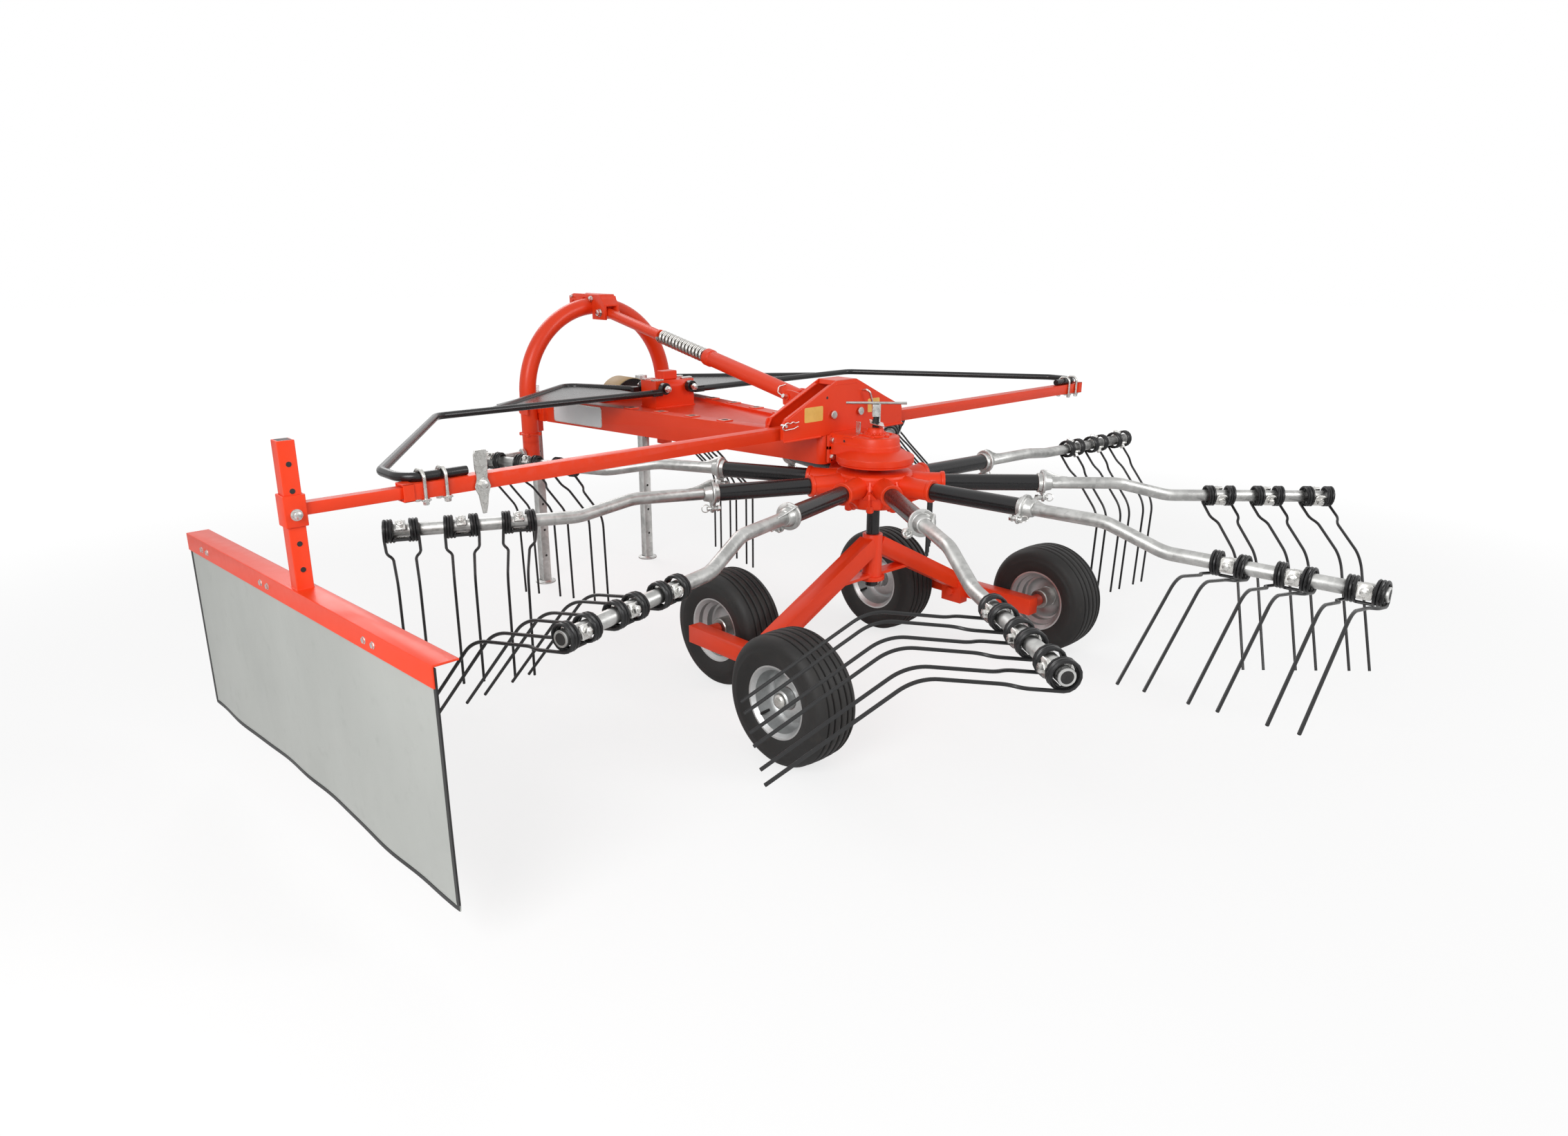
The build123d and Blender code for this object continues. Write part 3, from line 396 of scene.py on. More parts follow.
def applyModifiers(piece):
    bpy.context.view_layer.update()
    graph = bpy.context.evaluated_depsgraph_get()
    mesh = bpy.data.meshes.new_from_object(piece.evaluated_get(graph))
    piece.modifiers.clear()
    piece.data = mesh
    mesh.name = piece.name


def settle(piece, finish, body="frame", node=None, place=True):  # a finished piece joins its body
    if place:
        piece.data.transform(Matrix.Translation(ground))
    piece.data.materials.clear()
    piece.data.materials.append(materials[finish])
    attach(piece, body)
    if node:
        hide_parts(node)
    print("piece", piece.name, len(piece.data.polygons))
    return piece


def rounded(points, radius, steps=6):  # a stiff tube's line with its corners bent to a radius
    points = [Vector(p) for p in points]
    line = [points[0]]
    for before, corner, after in zip(points, points[1:], points[2:]):
        a, b = (before - corner).normalized(), (after - corner).normalized()
        angle = a.angle(b)
        room = 0.49 * min((before - corner).length, (after - corner).length)
        cut = min(radius / math.tan(angle / 2), room)
        centre = corner + (a + b).normalized() * (cut * math.tan(angle / 2) / math.sin(angle / 2))
        u, v = corner + a * cut - centre, corner + b * cut - centre
        sweep = u.angle(v)
        for k in range(steps + 1):
            t = k / steps
            line.append(centre + (u * math.sin((1 - t) * sweep) + v * math.sin(t * sweep)) / math.sin(sweep))
    line.append(points[-1])
    return line


def standTree(title, inputs, makePart):  # one part on every point; inputs of (name, socket type, value)
    tree = bpy.data.node_groups.new(title, "GeometryNodeTree")
    for way in ("INPUT", "OUTPUT"):
        tree.interface.new_socket("Geometry", in_out=way, socket_type="NodeSocketGeometry")
    for name, kind, value in inputs + [("Finish", "NodeSocketMaterial", None)]:
        item = tree.interface.new_socket(name, in_out="INPUT", socket_type=kind)
        if value is not None:
            item.default_value = value
    entry = tree.nodes.new("NodeGroupInput")
    given = {socket.name: Link(tree, socket) for socket in entry.outputs if socket.name}
    link = Link(tree)
    turn = link.make("GeometryNodeInputNamedAttribute", {"data_type": "FLOAT_VECTOR"}, {"Name": "turn"})
    size = link.make("GeometryNodeInputNamedAttribute", {"data_type": "FLOAT"}, {"Name": "size"})
    stood = link.make("GeometryNodeInstanceOnPoints", inputs={
        "Points": given["Geometry"], "Instance": makePart(link, given), "Scale": size,
        "Rotation": link.make("FunctionNodeEulerToRotation", inputs={0: turn})})
    real = link.make("GeometryNodeRealizeInstances", inputs={0: stood})
    done = link.make("GeometryNodeSetMaterial", inputs={"Geometry": real, "Material": given["Finish"]})
    link.make("NodeGroupOutput", inputs={0: done})
    return tree


def givenObject(link, socket):
    return link.make("GeometryNodeObjectInfo", {"transform_space": "ORIGINAL"}, {"Object": socket}, 4)


def wirePart(link, given):  # a line turned into round wire
    curve = link.make("GeometryNodeMeshToCurve", inputs={"Mesh": givenObject(link, given["Line"])})
    ring = link.make("GeometryNodeCurvePrimitiveCircle", inputs={"Resolution": given["Wire Sides"],
                                                                 "Radius": given["Wire Radius"]})
    return link.make("GeometryNodeCurveToMesh",
                     inputs={"Curve": curve, "Profile Curve": ring, "Fill Caps": True})


def boltPart(link, given):  # hexagon head on a washer, with the end of its thread
    height = given["Head Height"]
    half = given["Head Width"] * 0.577  # from the width across flats to the corner
    rounds = [("Cylinder", {"Vertices": 6, "Radius": half, "Depth": height}, 0.72),
              ("Cone", {"Vertices": 18, "Radius Top": half * 0.62, "Radius Bottom": half * 0.84,
                        "Depth": height * 0.16}, 1.22),
              ("Cylinder", {"Vertices": 22, "Radius": given["Washer Width"] * 0.5,
                            "Depth": height * 0.25}, 0.12)]
    whole = link.tree.nodes.new("GeometryNodeJoinGeometry")
    for kind, inputs, share in rounds:
        shape = link.make("GeometryNodeMesh" + kind, inputs=inputs)
        lift = link.make("ShaderNodeCombineXYZ", inputs={"Z": height * share})
        stood = link.make("GeometryNodeTransform", inputs={"Geometry": shape, "Translation": lift})
        link.tree.links.new(stood.socket, whole.inputs[0])
    return Link(link.tree, whole.outputs[0])


trees = {
    "repeat": standTree("stand part on points", [("Part", "NodeSocketObject", None)],
                        lambda link, given: givenObject(link, given["Part"])),
    "wire": standTree("bend wire on points", [("Line", "NodeSocketObject", None),
                                              ("Wire Radius", "NodeSocketFloat", 0.0045),
                                              ("Wire Sides", "NodeSocketInt", 8)], wirePart),
    "bolts": standTree("bolt heads", [("Head Width", "NodeSocketFloat", 0.019),
                                      ("Head Height", "NodeSocketFloat", 0.008),
                                      ("Washer Width", "NodeSocketFloat", 0.026)], boltPart),
}


standSharp = 38  # above this angle an edge of a repeated part shows as an edge


def stand(name, spots, tree, values, finish, body="frame", node=None):
    # spots are (place, turn, size); the size may be left out
    mesh = bpy.data.meshes.new(name)
    mesh.from_pydata(metres(spot[0] for spot in spots), [], [])
    turn = mesh.attributes.new("turn", "FLOAT_VECTOR", "POINT")
    turn.data.foreach_set("vector", [angle for spot in spots for angle in spot[1]])
    size = mesh.attributes.new("size", "FLOAT", "POINT")
    size.data.foreach_set("value", [spot[2] if len(spot) > 2 else 1.0 for spot in spots])
    piece = newObject(name, mesh)
    grow = piece.modifiers.new("grow", "NODES")
    grow.node_group = trees[tree]
    known = {item.name: item.identifier for item in trees[tree].interface.items_tree}
    for title, value in {**values, "Finish": materials[finish]}.items():
        grow[known[title]] = value
    applyModifiers(piece)
    for value in values.values():
        if isinstance(value, bpy.types.Object):
            bpy.data.objects.remove(value)
    piece.data.shade_smooth()
    piece.data.set_sharp_from_angle(angle=math.radians(standSharp))
    return settle(piece, finish, body, node)


def facing(direction, spin=0.0):  # the turn that brings +Z to a direction
    quaternion = Vector(direction).to_track_quat("Z", "Y")
    return tuple((quaternion.to_matrix() @ Matrix.Rotation(spin, 3, "Z")).to_euler())


def bolts(name, places, width=19, height=8, washer=26, finish="bright", body="frame"):
    # places of (point, direction, size); each head is turned a little further than the last
    spots = [(place[0], facing(place[1], 0.3 * k), *place[2:]) for k, place in enumerate(places)]
    stand(name, spots, "bolts", {"Head Width": width / 1000, "Head Height": height / 1000,
                                 "Washer Width": washer / 1000}, finish, body)


def holeMarks(name, places, radius, body="frame", lipFinish="red"):  # dark rounds, each with a thin lip
    spots = [(place, facing(direction)) for place, direction in places]
    # each dark round is painted shade standing in for the inside of a hole
    mark = Solid()
    mark.lathe([(radius, -1.2), (radius, 0.1), (radius * 0.02, 0.12)], sides=24)
    stand(name, spots, "repeat", {"Part": mark.object("mark", sharp=60)}, "dark", body)
    lip = Solid()
    lip.ring([(radius, -0.3), (radius, 0.25), (radius + 0.8, 0.25), (radius + 1.6, -0.3)], sides=28)
    stand(name + "_lips", spots, "repeat", {"Part": lip.object("lip", sharp=50)}, lipFinish, body)


# rotor

rotor = {"arms": 9, "firstAzimuth": 145.4, "height": 705, "tip": 1590, "tube": 20,
         "pitches": [35, 31, 64, 92, 90, 90, 88, 86, 50], "pairRadii": [1537, 1367, 1200],
         "bendStart": 835, "bendEnd": 1020, "bendOffset": 60, "bendAngle": 61, "bendRadius": 170,
         "bearingTube": 28, "bearingEnd": 572}


def armTurn(index):
    azimuth = math.radians(rotor["firstAzimuth"] + index * 360 / rotor["arms"] + 90)
    return (math.radians(rotor["pitches"][index]), 0.0, azimuth)


def trail(length, degrees):  # a step across the arm: 0 trails, 90 points down
    return (-length * math.cos(math.radians(degrees)), -length * math.sin(math.radians(degrees)))


armSpots = [((0, 0, rotor["height"]), armTurn(k)) for k in range(rotor["arms"])]
armFrames = [Matrix.Rotation(turn[2], 4, "Z") @ Matrix.Translation(place) @ Matrix.Rotation(turn[0], 4, "X")
             for place, turn in armSpots]
bend = trail(rotor["bendOffset"], rotor["bendAngle"])  # where the outer arm runs, across from its bearing


def standOnArms(name, part, finish, node=None):
    stand(name, armSpots, "repeat", {"Part": part}, finish, "rotor", node)


tine = {"coilRadius": 31.5, "halfSpacing": 35, "halfWidth": 13.4, "turns": 3.0, "turnSteps": 16,
        "wireRadius": 4.5, "knee": 43, "upper": 305, "lower": 370, "bendRadius": 120, "joggle": 16,
        "joggleFrom": 85, "joggleTo": 115}


def makeTines():  # two coils on the arm's tube, each running out into a leg with a joggle and a knee
    outward = tine["halfSpacing"] + tine["halfWidth"]
    inward = outward - tine["joggle"]
    slope, startAngle = -tine["knee"], 90 - tine["knee"]

    def along(base, distance, degrees):
        dy, dz = trail(distance, degrees)
        return (base[0] + dy, base[1] + dz)

    first = along(bend, tine["coilRadius"], startAngle)
    kneeAt = along(first, tine["upper"], slope)
    half = list(reversed(rounded([
        (outward, *first), (outward, *along(first, tine["joggleFrom"], slope)),
        (inward, *along(first, tine["joggleTo"], slope)), (inward, *kneeAt),
        (inward, *along(kneeAt, tine["lower"], 0))], tine["bendRadius"], 10)))
    steps = int(tine["turns"] * tine["turnSteps"])
    for share in (k / steps for k in range(1, steps + 1)):
        spot = along(bend, tine["coilRadius"], startAngle + 360 * tine["turns"] * share)
        half.append((outward - 2 * tine["halfWidth"] * share, *spot))
    line = lineObject("tine pair line", half + [(-x, y, z) for x, y, z in reversed(half)])
    spots = []
    for place, turn in armSpots:
        out = Vector((math.cos(turn[2]), math.sin(turn[2]), 0))
        spots += [(out * radius + Vector(place), turn) for radius in rotor["pairRadii"]]
    values = {"Line": line, "Wire Radius": tine["wireRadius"] / 1000, "Wire Sides": 8}
    stand("tine_coils_and_legs", spots, "wire", values, "tine", "rotor", "tines")


def makeArms():
    arm = Solid()
    arm.tube(rounded([(rotor["bearingEnd"] + 8, 0, 0), (rotor["bendStart"], 0, 0), (rotor["bendEnd"], *bend),
                      (rotor["tip"] - 1.2, *bend)], rotor["bendRadius"], 9), rotor["tube"], 28)
    standOnArms("tine_arm_tubes", arm.object("arm", 1.0), "zinc", "tine_arms")
    tip = rotor["tip"] - 1
    end = Solid()
    profile = [(14.5, -40), (14.5, 0.6), (19.2, 0.6), (20.3, -1.5), (20.3, -6), (17.5, -40)]
    end.ring(profile, (tip, *bend), xAxis, 28)
    standOnArms("arm_end_rims", end.object("rim", sharp=30), "zinc")
    # a near-black disc just inside the open end of the arm tube: painted shade of the tube's inside
    hole = Solid()
    hole.rod((tip - 2, *bend), (tip + 0.4, *bend), 14.8)
    standOnArms("arm_end_holes", hole.object("hole"), "dark")


clamp = {"tilt": 54, "face": 29, "inner": 20, "bolt": 6, "boltEnd": 45,
         "outline": [(-16, -19), (16, -19), (19, -12), (19, 16), (11, 23), (-11, 23), (-19, 16), (-19, -12)]}


def makeClamps():
    face, inner = clamp["face"], clamp["inner"]
    seat = Matrix.Translation((0, *bend)) @ spun(clamp["tilt"], "X")
    plates = Solid(seat)
    for x in rotor["pairRadii"]:
        plates.prism([(x + u, v) for u, v in clamp["outline"]], (inner, face))
        plates.box((x - 14, -17, -face), (x + 14, 17, -inner))
        plates.rod((x, 0, -clamp["boltEnd"]), (x, 0, -inner), clamp["bolt"], 14)
    standOnArms("tine_clamp_plates", plates.object("clamps", 1.6), "bright", "tine_clamps")
    places = []
    for frameOfArm in armFrames:
        spin = frameOfArm @ seat
        up = spin.to_3x3() @ Vector(zAxis)
        for x in rotor["pairRadii"]:
            places += [(spin @ Vector((x, 1, face)), up), (spin @ Vector((x, 0, -face)), -up)]
    bolts("tine_clamp_bolts", places, 19, 9, 24, body="rotor")


def makeBearingTubes():
    tube = Solid()
    end = rotor["bearingEnd"]
    r = rotor["bearingTube"]
    tube.lathe([(24, 170), (r, 172), (r, end - 1), (26, end)], origin, xAxis, 36)
    standOnArms("bearing_tube_covers", tube.object("tube"), "black", "arm_bearing_tubes")


flange = {"eye": -53,
          "profile": [(30, -14), (33, -13), (33, 0), (42, 0.2), (42, 9.8), (31, 10), (29, 13),
                      (25, 34), (21, 36)],
          "ear": [(-13, -34), (13, -34), (16, -52), (11, -64), (0, -67), (-11, -64), (-16, -52)],
          "fin": [(0, 44), (10, 46), (24, 42), (46, 31), (70, 23), (92, 20.5), (60, 18), (8, 22), (0, 30)]}


def makeFlanges():
    end, eye = rotor["bearingEnd"], flange["eye"]
    casting = Solid()
    casting.lathe(flange["profile"], (end, 0, 0), xAxis, 40)
    casting.plate(flange["ear"], (end + 1.5, 0, 0), zAxis, yAxis, -8, [(0, eye, 6)])
    casting.rod((end - 12, eye, 0), (end + 22, eye, 0), 8, 18)
    casting.plate(flange["fin"], (end, 0, -3), xAxis, yAxis, 6)
    standOnArms("arm_flange_castings", casting.object("flange", 1.4), "zinc", "arm_flanges")
    pin = Solid()
    pin.tube([(end + 26 + u, eye + v, 4) for u, v in circle(13, 20)], 1.7, 8, closed=True)
    pin.rod((end + 14, eye, -12), (end + 14, eye, 14), 3.4, 12)
    standOnArms("flange_lynch_pins", pin.object("pin"), "bright")
    bolts("flange_bolts", [(spin @ Vector((end - 12, eye, 0)), spin.to_3x3() @ Vector((-1, 0, 0)))
                           for spin in armFrames], 17, 8, 22, body="rotor")


hub = {"radius": 132, "top": 748, "low": 622, "between": 20, "boltRadius": 96,
       "socket": [(40, 70), (38, 120), (35, 150), (33, 170), (33, 224), (36.5, 227), (37.5, 231), (37.5, 238),
                  (36, 240), (29, 240)],
       "underWeb": [(96, -42), (134, -33), (196, -30), (150, -50), (120, -72), (96, -78)],
       "topWeb": [(100, 30), (100, 40), (132, 38), (186, 31), (140, 28)],
       "rib": [(104, -76), (134, -66), (147, -34), (142, 2), (128, 30), (104, 34)]}


def makeHub():
    casting = Solid()
    top, low, r, z = hub["top"], hub["low"], hub["radius"], rotor["height"]
    casting.lathe([(24, low + 18), (r - 46, low + 10), (r - 22, low + 6), (r - 10, low + 12),
                   (r - 4, low + 30),
                   (r - 2, 690), (r - 1, 722), (r, 736), (r - 4, top - 5), (r - 14, top - 1), (r - 22, top),
                   (24, top + 1)], sides=96)
    marks = []
    for place, turn in armSpots:
        part = Solid(Matrix.Rotation(turn[2], 4, "Z"), casting.mesh)
        part.lathe(hub["socket"], place, xAxis, 40)
        part.plate(hub["underWeb"], (0, -5, z), xAxis, zAxis, -10)
        part.plate(hub["topWeb"], (0, -4, z), xAxis, zAxis, -8)
        azimuth = turn[2] + math.radians(hub["between"])
        rib = Solid(Matrix.Rotation(azimuth, 4, "Z"), casting.mesh)
        rib.plate(hub["rib"], (0, -4, z), xAxis, zAxis, -8)
        rib.lathe([(13, 0), (13, 20), (11, 24), (6, 26), (1, 27)], (118, 0, low + 24), (0, 0, -1), 20)
        rib.lathe([(11, 0), (11, 7), (8, 9), (1, 10)], (128, 0, z + 2), (1, 0, 0.1), 20)
        rib.plate([(-26, 0), (26, 0), (0, 34)], (130, 0, z - 34), yAxis, (0.45, 0, 0.9), 5)
        out = Vector((math.cos(azimuth), math.sin(azimuth), 0))
        marks.append((out * hub["boltRadius"] + Vector((0, 0, low + 7)), (0, 0, -1)))
    casting.piece("rotor_hub_casting", "cast", "rotor", "rotor_hub", bevel=2.4, sharp=32, steps=3)
    bolts("hub_under_bolts", marks, 15, 7, 20, "red", "rotor")


makeTines()
makeArms()
makeClamps()
makeBearingTubes()
makeFlanges()
makeHub()
print("rotor made")


# wheels

wheel = {"radius": 203, "half": 82.5, "lip": 113, "rimHalf": 70, "seat": 101, "rear": (674, -293),
         "front": (413, 293), "crownDrop": 4.0, "crownHalf": 56.5,
         "grooves": [(-48, 5), (-26, 6), (0, 6), (26, 6), (48, 5)]}


def makeTyre(name, body, place):
    r, half, seat, lip, rimHalf = (wheel[key] for key in ("radius", "half", "seat", "lip", "rimHalf"))
    wall = [(seat, -rimHalf + 12), (lip - 2, -rimHalf + 2), (lip + 8, -half + 9), (lip + 24, -half + 2.5),
            (lip + 40, -half), (lip + 46, -half + 0.2), (lip + 48, -half + 1.6), (r - 32, -half + 2),
            (r - 18, -half + 8), (r - 9, -half + 17), (r - 4, -half + 26)]
    tread = []
    for middle, depth in wheel["grooves"]:
        crown = r - wheel["crownDrop"] * (abs(middle) / wheel["crownHalf"]) ** 2
        for step, drop in ((-5.5, 0), (-4.2, 0.8), (-3.2, depth), (3.2, depth), (4.2, 0.8), (5.5, 0)):
            tread.append((crown - drop, middle + step))
    tyre = Solid()
    tyre.ring(wall + tread + [(radius, -reach) for radius, reach in reversed(wall)], place, xAxis, 96)
    tyre.piece("tyre_" + name + "_ribbed", "rubber", body, "tyre_" + name, sharp=50)


def makeRim(name, body, place, way):  # way is +1 or -1, the side its dish is open to
    seat, lip, half = wheel["seat"], wheel["lip"], wheel["rimHalf"]
    rim = Solid()
    rim.ring([(lip, -half), (lip + 1.5, -half + 3), (lip - 3, -half + 7), (seat + 1, -half + 13),
              (seat, -half + 30), (seat - 14, -half + 40), (seat - 14, -8), (seat - 4, 0), (seat, 14),
              (seat, half - 14), (lip - 3, half - 7), (lip + 1.5, half - 3), (lip, half), (lip - 5, half - 1),
              (seat - 4, half - 12), (seat - 5, 16), (seat - 9, 3), (seat - 18, -5), (seat - 18, -half + 38),
              (seat - 5, -half + 27), (seat - 4, -half + 12), (lip - 5, -half + 1)], place, (way, 0, 0), 72)
    rim.ring([(seat - 15, -6), (84, -9), (76, -7), (70, 2), (60, 10), (46, 12), (36, 14), (36, 18), (48, 17),
              (62, 14.5), (72.5, 6), (78, -3), (84, -4.5), (seat - 15, -1.5)], place, (way, 0, 0), 72)
    rim.piece("rim_" + name + "_pressed", "rim", body, "rim_" + name, sharp=32)
    middle = Solid()
    middle.lathe([(16, -49), (24, -48), (33, -47), (36, -44), (36, 10), (34, 12), (33, 30), (30, 44),
                  (26, 48),
                  (16, 49)], place, (way, 0, 0), 40)
    middle.piece("rim_" + name + "_hub", "rim" if way < 0 else "steel", body, slot="bare_steel", sharp=32)
    cap = Solid()
    cap.lathe([(24, 40), (24.5, 49), (22, 56), (16, 61), (8, 63.5), (0.1, 64)], place, (way, 0, 0), 32)
    cap.piece("rim_" + name + "_cap", "bright", body, sharp=40)
    x, y, z = place
    valve = Solid()
    valve.rod((x + way * 30, y + 66, z - 56), (x + way * 62, y + 70, z - 60), 4.5, 12)
    valve.piece("rim_" + name + "_valve", "rubber", body, bevel=0.8)


for side, word in sides:
    for end, way in (("rear", side), ("front", -side)):
        wheelPlace = (side * wheel[end][0], wheel[end][1], wheel["radius"])
        makeTyre(end + "_" + word, "wheel_" + end + "_" + word, wheelPlace)
        makeRim(end + "_" + word, "wheel_" + end + "_" + word, wheelPlace, way)
print("wheels made")


# pieces that keep the outline of their solid and gain eased edges

def easedCopy(node, name, body, finish, ease):
    shape = bmesh.new()
    shape.from_mesh(frame["nodes"][node].data)
    bmesh.ops.remove_doubles(shape, verts=shape.verts, dist=0.00002)
    bmesh.ops.dissolve_limit(shape, angle_limit=math.radians(0.6), verts=shape.verts, edges=shape.edges)
    mesh = bpy.data.meshes.new(name)
    shape.to_mesh(mesh)
    shape.free()
    piece = newObject(name, mesh)
    easeEdges(piece, ease, 2, 30)
    settle(piece, finish, body, node, place=False)


easedPieces = [  # node, piece, body, finish, edge radius in millimetres
    ("main_beam", "main_beam_pressed", "frame", "red", 2.0),
    ("stand_sleeves", "stand_sleeves_folded", "frame", "red", 1.6),
    ("walking_beam_left", "walking_beam_tube_left", "bogie_left", "red", 2.5),
    ("walking_beam_right", "walking_beam_tube_right", "bogie_right", "red", 2.5),
    ("side_arm_left", "side_arm_tube_left", "wing_left", "red", 2.5),
    ("side_arm_right", "side_arm_tube_right", "wing_right", "red", 2.5),
    ("curtain_slide_tube", "slide_tube_with_sleeve", "curtain_carriage", "red", 2.0),
    ("curtain_frame", "curtain_rail_and_post", "curtain", "red", 1.8),
    ("guard_pivot_box", "guard_box_folded", "frame", "red", 2.0),
    ("stand_leg_left", "stand_tube_left", "stand_left", "zinc", 2.2),
    ("stand_leg_right", "stand_tube_right", "stand_right", "zinc", 2.2),
    ("input_hood", "shaft_hood_moulding", "frame", "hood", 1.6),
]

for entry in easedPieces:
    easedCopy(*entry)
print("eased pieces made", len(easedPieces))


# tower and beam

tower = {"half": 300, "shoulder": 905, "corner": (280, 930), "top": (50, 1040), "foot": 857, "rear": 138,
         "front": 228, "plate": 6, "fold": (68, 926), "lip": 12, "cap": 56, "lug": 36,
         "lugShape": [(226, 900), (414, 930), (418, 968), (400, 984), (372, 984), (226, 960)]}


def makeTower():
    half, foot, shoulder, rear, front = (tower[key] for key in ("half", "foot", "shoulder", "rear", "front"))
    (cornerX, cornerZ), (topX, topZ) = tower["corner"], tower["top"]
    plate, lip = tower["plate"], tower["lip"]
    outline = [(-half, foot), (half, foot), (half, shoulder)]
    outline += [(half - 10 * (1 - math.cos(a)), shoulder + 25 * math.sin(a))
                for a in (math.pi * k / 12 for k in range(1, 6))]
    outline += [(cornerX, cornerZ), (topX + 26, topZ - 12), (topX, topZ)]
    outline += [(-x, z) for x, z in reversed(outline[2:])]
    plates = Solid()
    for y in (rear, front - plate):
        plates.plate(outline, (0, y + plate, 0), xAxis, zAxis, plate)
    plates.piece("tower_plates_cut", "red", node="tower_plates", bevel=1.5)
    folds = Solid()
    line = [(half, foot + 8), (half, shoulder), (cornerX + 6, cornerZ + 1), (topX + 26, topZ - 13)]
    for side in (-1, 1):
        for (x0, z0), (x1, z1) in zip(line, line[1:]):
            for y in (rear + 5 + lip / 2, front - 5 - lip / 2):
                start, end = (side * (x0 - 2.5), y, z0 - 2), (side * (x1 - 2.5), y, z1 - 2)
                folds.bar(start, end, lip, 5, (side, 0, 0.3))
    cap = tower["cap"]
    folds.prism([(-cap, topZ - 16), (cap, topZ - 16), (topX, topZ), (-topX, topZ)], (rear - 1, front - 8), 1)
    folds.piece("tower_folds", "red", bevel=1.6)
    lugs = Solid()
    for x in (-tower["lug"], tower["lug"]):
        lugs.prism(tower["lugShape"], (x - 5, x + 5), 0)
    lugs.rod((-47, *strut["rear"]), (47, *strut["rear"]), 12, 24)
    lugs.piece("strut_lugs", "red", bevel=1.6)
    pins = Solid()
    for x in (-tower["fold"][0], tower["fold"][0]):
        pins.lathe([(8, 0), (8, 98), (13.5, 98), (14, 99), (14, 104), (12.5, 105.5), (6, 106), (0, 106)],
                   (x, front + 5, tower["fold"][1]), (0, -1, 0), 28)
        pins.lathe([(8, 0), (12.5, 0.1), (12.5, 8), (10, 9), (0, 9)], (x, front, tower["fold"][1]), yAxis, 6)
    pins.piece("fold_pins", "bright", sharp=32)
    clip = Solid()
    wave = [(0, 0), (18, 9), (30, 2), (42, 10), (54, 3), (70, 6)]
    clip.tube(rounded([(-306 + u, 132, 914 + v) for u, v in wave], 12, 4), 2.0, 8)
    loop = [(-306, 132, 914), (-312, 132, 904), (-300, 132, 898), (-262, 130, 900), (-240, 131, 906)]
    clip.tube(rounded(loop, 8, 4), 2.0, 8)
    clip.rod((-298, 150, 912), (-298, 126, 912), 5, 16)
    clip.piece("fold_clip", "bright", sharp=50)
    hook = Solid()
    bent = [(84, 138, 998), (84, 118, 1000), (92, 112, 990), (112, 116, 950), (116, 116, 930)]
    hook.tube(rounded(bent, 10, 5), 4.0, 12)
    hook.piece("tower_hook", "bright", sharp=50)
    holeMarks("tower_hole", [((-96, rear, 986), (0, -1, 0))], 5)


def roundedBox(width, height, corner, steps=5):  # outline of a plate with round corners
    points = []
    for cx, cy, start in ((1, 1, 0), (-1, 1, 90), (-1, -1, 180), (1, -1, 270)):
        for k in range(steps + 1):
            a = math.radians(start + 90 * k / steps)
            points.append((cx * (width / 2 - corner) + corner * math.cos(a),
                           cy * (height / 2 - corner) + corner * math.sin(a)))
    return points


beam = {"rear": 235, "rearHalf": 120, "flare": 190, "length": 1365}  # it widens by the flare over its length
sidePlate = {"ahead": 1168, "z": 808, "back": (300, 84, 12), "face": (292, 76, 9)}
labels = [(-160, 936, 88, 50), (142, 940, 62, 48)]  # middle x and z, width, height


def makeBlankPlates():
    angle = math.atan2(beam["flare"], beam["length"])
    along = Vector((-math.sin(angle), math.cos(angle), 0))
    out = Vector((-math.cos(angle), -math.sin(angle), 0))
    middle = Vector((-beam["rearHalf"], beam["rear"], sidePlate["z"]))
    middle += along * (sidePlate["ahead"] / math.cos(angle))
    for key, finish, proud in (("back", "bright", 1.0), ("face", "white", 1.7)):
        plate = Solid()
        plate.plate(roundedBox(*sidePlate[key]), middle + out * proud, along, zAxis, proud + 0.6)
        plate.piece("side_plate_" + key, finish, bevel=0.3)
    plates = Solid()
    for x, z, width, height in labels:
        plates.plate(roundedBox(width, height, 5), (x, tower["rear"] - 0.8, z), xAxis, zAxis, -1.2)
    plates.piece("blank_yellow_plates", "yellow", bevel=0.3)


pads = {"first": 620, "pitch": 165, "count": 4, "half": 21, "top": 861, "hole": 13, "inset": 31}


def makePads():  # worn faces of the raised pads along both top flanges, with their dark holes
    faces = Solid()
    marks = []
    half, top = pads["half"], pads["top"]
    for y in (pads["first"] + step * pads["pitch"] for step in range(pads["count"])):
        beamHalf = beam["rearHalf"] + beam["flare"] * (y - beam["rear"]) / beam["length"]
        for x in (pads["inset"] - beamHalf, beamHalf - pads["inset"]):
            faces.box((x - half, y - half, top - 0.5), (x + half, y + half, top + 0.6))
            marks.append(((x, y, top + 0.7), zAxis))
    faces.piece("pad_faces", "worn", bevel=0.3)
    holeMarks("pad_holes", marks, pads["hole"])


# gearbox, spindle and column

gearbox = {"disc": 133, "low": 768, "rim": 799, "cone": 820, "half": 85, "top": 865, "nose": 138,
           "bossTop": 893, "flangeHalf": 99, "flangeLow": 764, "flangeTop": 859,
           "bolts": (842, 786), "lidCircle": 52,
           "ear": [(-24, -10), (18, -12), (30, -4), (30, 6), (18, 12), (-24, 8)],
           "teeth": [(0, 38.5), (0.42, 38.5), (0.5, 34), (0.92, 34)]}


def oblong(half, reach, steps=20):  # half circle round the rotor axis, run forward to the beam
    points = [(half, reach)]
    for k in range(steps + 1):
        a = -math.pi * k / steps
        points.append((half * math.cos(a), half * math.sin(a)))
    return points + [(-half, reach)]


